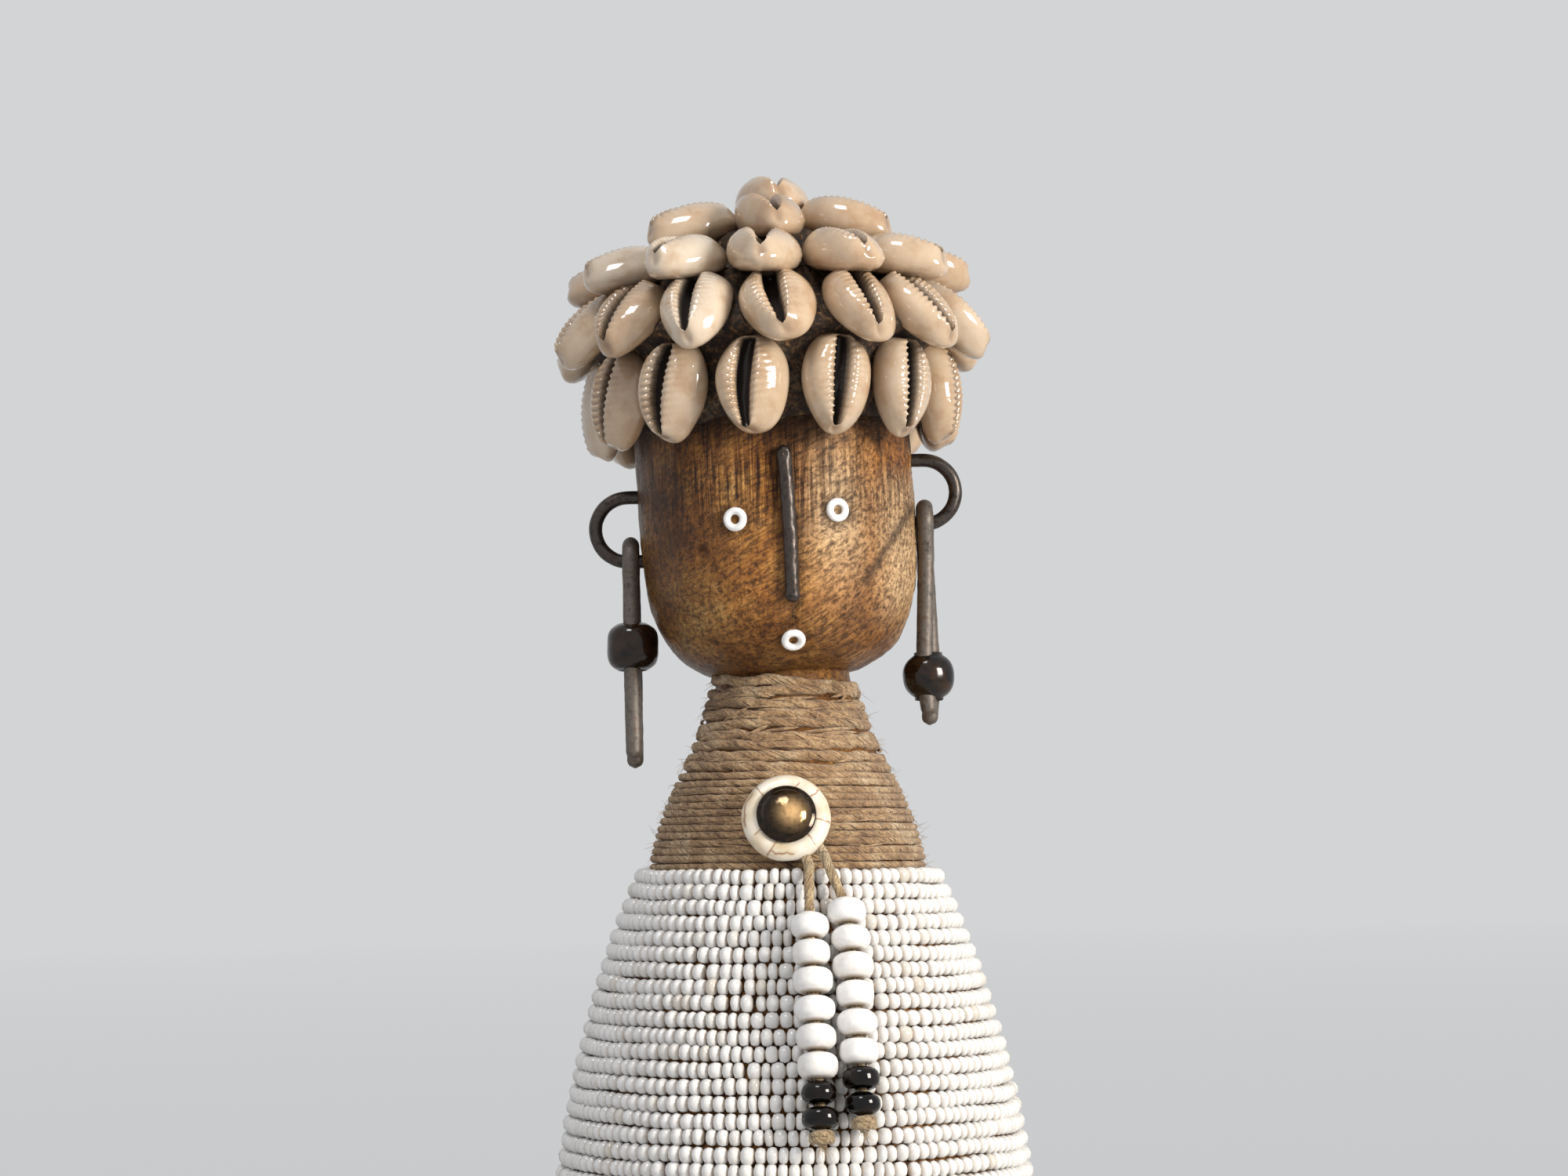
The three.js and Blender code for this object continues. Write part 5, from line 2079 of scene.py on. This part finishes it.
        points, faces = tube(line, section, sides)
        angles = np.tile(np.arange(sides) * tau / sides, len(line))
        rings = np.repeat(np.arange(len(line)), sides)
        # Painted shade along the hollow between the two plies.
        hollow = np.clip(0.6 - 1.4 * np.abs(np.cos(angles - rings * lay)), 0, 0.5)
        strand = np.stack([np.cos(angles - rings * lay), np.sin(angles - rings * lay), rings * 0.07], axis=1)
        return make_piece(name, points, faces, self.palette.twine, {"hollow": hollow, "strand": strand})

    def add_bead(self, stack: MeshStack, route: list[Vector], along: float, diameter: float, length: float,
                 chance: random.Random) -> None:
        """Adds one hand-ground bead to a stack.

        Args:
            stack: the mesh that gets it.
            route: the string's points.
            along: its place on the string.
            diameter: its diameter.
            length: its length.
            chance: source of its own shape.
        """
        wide = diameter / 2 * chance.uniform(0.94, 1.04)
        half = length / 2 * chance.uniform(0.96, 1.01)
        square = chance.uniform(2.4, 3.1)
        stages = [disc(wide * 0.3, -half * 0.84)]
        for share in np.linspace(-1, 1, 11):
            reach = max(0.42, (1 - abs(share) ** square) ** (1 / square)) * wide
            stages.append(disc(reach, half * share))
        stages.append(disc(wide * 0.3, half * 0.84))
        points, faces, rings = drawn_up("bead_form", 40, stages)
        seed = chance.uniform(0, 50)
        shaped = np.array([tuple(Vector(p) * (1 + 0.018 * lumps((p[0] + seed, p[1], p[2]), 2.6, 2)))
                           for p in points])
        spot, way = self.spot(route, along)
        tilt = Vector((chance.uniform(-0.1, 0.1), chance.uniform(-0.05, 0.05), 0))
        upward = (tilt - way).normalized()
        place = frame_of(Vector((1, 0, 0)), upward, spot)
        dust = np.where((rings <= 1) | (rings >= len(stages) - 2), 0.75, 0.05)
        stack.add(moved(shaped, place), faces, tint=chance.uniform(0.05, 0.8), dust=dust)

    def knot(self, route: list[Vector], along: float, body: str,
             chance: random.Random) -> Object:
        """Makes the knot of a little over two turns of string, with a frayed tail.

        Args:
            route: the string's points.
            along: the knot's place on the string.
            body: the pendant's body.
            chance: source of the fray.

        Returns:
            The knot.
        """
        spot, way = self.spot(route, along)
        stack = MeshStack()
        reach = self.knot_diameter / 2 - self.string * 0.45
        side = Vector((1, 0, 0))
        out = way.cross(side).normalized()
        path = []
        for step in range(73):
            angle = tau * 2.2 * step / 72
            rise = (0.5 - step / 72) * (self.knot_length - self.string) + 0.35 * sin(angle * 0.5 + 1)
            path.append(spot - way * rise + (side * cos(angle) + out * sin(angle)) * reach)
        sides, lay = 10, 0.5

        def section(ring: int, angle: float) -> float:
            """Returns the radius of the string's two plies."""
            return self.string * 0.47 * (0.86 + 0.16 * abs(cos(angle - ring * lay)))

        points, faces = tube(path, section, sides, way)
        rings = np.repeat(np.arange(len(path)), sides)
        turned = np.tile(np.arange(sides) * tau / sides, len(path)) - rings * lay
        along = rings * 0.05
        # The whole knot gets a tenth of the painted ply shade colour.
        stack.add(points, faces, hollow=0.1, strand=np.stack([np.cos(turned), np.sin(turned), along], axis=1))
        fray = JuteCollar(self.palette, chance=chance)
        for _ in range(26):
            root = spot + way * self.knot_length * 0.35 + side * chance.uniform(-0.5, 0.5)
            fray.fibre(stack, root, (way + side * chance.uniform(-0.5, 0.5) - out * 0.2).normalized(),
                       chance.uniform(1.0, 2.6))
        return place_piece(stack.piece(body + "_knot", self.palette.twine), body, "jute", body)


# The studio


@dataclass
class Studio:
    """A pale floor and backdrop, soft light from the right, and the photograph's camera."""

    image: tuple[int, int] = (2000, 1500)
    focal_pixels: float = 4600.0
    sensor: float = 36.0
    eye: tuple[float, float, float] = (0.5, -670.0, 133.0)
    pitch: float = 4.35
    roll: float = -1.3
    yaw: float = 0.0
    backdrop: str = "#D3D4D5"

    def build(self) -> None:
        """Makes the camera, the floor, the world and the lamps."""
        bpy.context.scene.view_settings.view_transform = "Standard"
        self.camera()
        self.floor()
        self.world()
        self.lamp("key_window", (740, -560, 380), size=320, power=10.6, colour="#FFF9F0")
        fill = self.lamp("fill_card", (-560, -740, 320), size=900, power=2.4, colour="#F6F7FF")
        fill.visible_glossy = False
        self.lamp("top_window", (-120, -380, 820), size=230, power=2.4, colour="#FFFFFF")

    def camera(self) -> None:
        """Places the camera by the photograph's vanishing lines."""
        data = bpy.data.cameras.new("photo_camera")
        data.sensor_width = self.sensor
        data.lens = self.sensor * self.focal_pixels / self.image[0]
        data.clip_start = 0.01
        camera = bpy.data.objects.new("photo_camera", data)
        bpy.context.collection.objects.link(camera)
        turn = (Matrix.Rotation(radians(self.yaw), 4, "Z")
                @ Matrix.Rotation(radians(90 + self.pitch), 4, "X")
                @ Matrix.Rotation(radians(self.roll), 4, "Z"))
        camera.matrix_world = Matrix.Translation(Vector(self.eye) * MM) @ turn
        bpy.context.scene.camera = camera

    def floor(self) -> None:
        """Makes a wide round floor in pale grey paper."""
        bpy.ops.object.select_all(action="DESELECT")
        bpy.ops.mesh.primitive_circle_add(vertices=96, radius=6.0, fill_type="NGON")
        floor = bpy.context.object
        floor.name = "paper_floor"
        paper = bpy.data.materials.new("pale_paper")
        paper.use_nodes = True
        tree = paper.node_tree
        shader = tree.nodes["Principled BSDF"]
        feed(tree, shader, {"Base Color": linear("#DADBDC"), "Roughness": 0.9})
        place = add_node(tree, "TexCoord").outputs["Object"]
        away = add_node(tree, "VectorMath", {0: place}, operation="LENGTH")
        fade = add_node(tree, "MapRange", {
            "Value": away.outputs["Value"], "From Min": 0.18, "From Max": 0.75,
            "To Min": 0.45, "To Max": 1.0})
        share = add_node(tree, "Math", {0: fade, 1: self.seen_rays(tree)}, operation="MULTIPLY")
        level = add_node(tree, "MapRange", {
            "Value": away.outputs["Value"], "From Min": 0.7, "From Max": 6.0, "To Min": 0.9, "To Max": 1.0})
        glow = add_node(tree, "Emission", {"Color": linear(self.backdrop), "Strength": level})
        mix = add_node(tree, "MixShader", {0: share, 1: shader, 2: glow})
        feed(tree, tree.nodes["Material Output"], {"Surface": mix})
        floor.data.materials.append(paper)

    def seen_rays(self, tree: NodeTree) -> NodeSocket:
        """Returns 1 for the rays that see the backdrop: straight on, mirrored, or through glass.

        Args:
            tree: the node tree.

        Returns:
            The share, 0 or 1.
        """
        path = add_node(tree, "LightPath")
        seen = path.outputs["Is Camera Ray"]
        for kind in ("Is Transmission Ray", "Is Glossy Ray"):
            seen = add_node(tree, "Math", {0: seen, 1: path.outputs[kind]}, operation="MAXIMUM").outputs[0]
        return seen

    def world(self) -> None:
        """Gives the room a soft even light, and the backdrop's colour to what looks past the doll."""
        world = bpy.data.worlds.new("studio")
        bpy.context.scene.world = world
        world.use_nodes = True
        tree = world.node_tree
        tree.nodes.clear()
        soft = add_node(tree, "Background", {"Color": linear("#EEF0F2"), "Strength": 0.16})
        seen = add_node(tree, "Background", {"Color": linear(self.backdrop), "Strength": 1.0})
        mix = add_node(tree, "MixShader", {0: self.seen_rays(tree), 1: soft, 2: seen})
        add_node(tree, "OutputWorld", {"Surface": mix})

    def lamp(self, name: str, place: tuple[float, float, float], size: float, power: float,
             colour: str) -> Object:
        """Adds one soft lamp that looks at the doll's middle.

        Args:
            name: its name.
            place: where it stands, in millimetres.
            size: its side, in millimetres.
            power: its power in watts.
            colour: its colour.

        Returns:
            The lamp.
        """
        data = bpy.data.lights.new(name, "AREA")
        data.shape = "SQUARE"
        data.size = size * MM
        data.energy = power
        data.color = linear(colour)[:3]
        lamp = bpy.data.objects.new(name, data)
        bpy.context.collection.objects.link(lamp)
        lamp.location = Vector(place) * MM
        way = Vector((0, 0, 160 * MM)) - lamp.location
        lamp.rotation_euler = way.to_track_quat("-Z", "Y").to_euler()
        lamp.visible_camera = False
        return lamp


def main() -> None:
    """Builds the doll piece by piece."""
    logging.basicConfig(level=logging.INFO, format="%(message)s")
    Studio().build()
    palette = Palette()
    makers: tuple[Maker, ...] = (
        Pendant(palette, Side.LEFT, top_x=3.8, bead_x=3.2, bottom_x=4.9, top_level=131.9, first_bead=12.3),
        Pendant(palette, Side.RIGHT, top_x=6.4, bead_x=10.1, bottom_x=12.3, top_level=133.8, first_bead=12.0),
        CarvedFigure(palette),
        Face(palette),
        Earring(palette, Side.LEFT, level=195.5, drop=38.4, bead_drop=15.9, bead_square=3.4, spread=0.3,
                loop_reach=28.4, place=27.9),
        Earring(palette, Side.RIGHT, level=201.3, drop=37.4, bead_drop=28.4, bead_square=2.4, spread=1.6,
                loop_reach=26.9, place=27.0),
        CowrieHair(palette), JuteCollar(palette), Medallion(palette), BeadSkirt(palette))
    for maker in makers:
        maker.build()


if __name__ == "__main__":
    main()
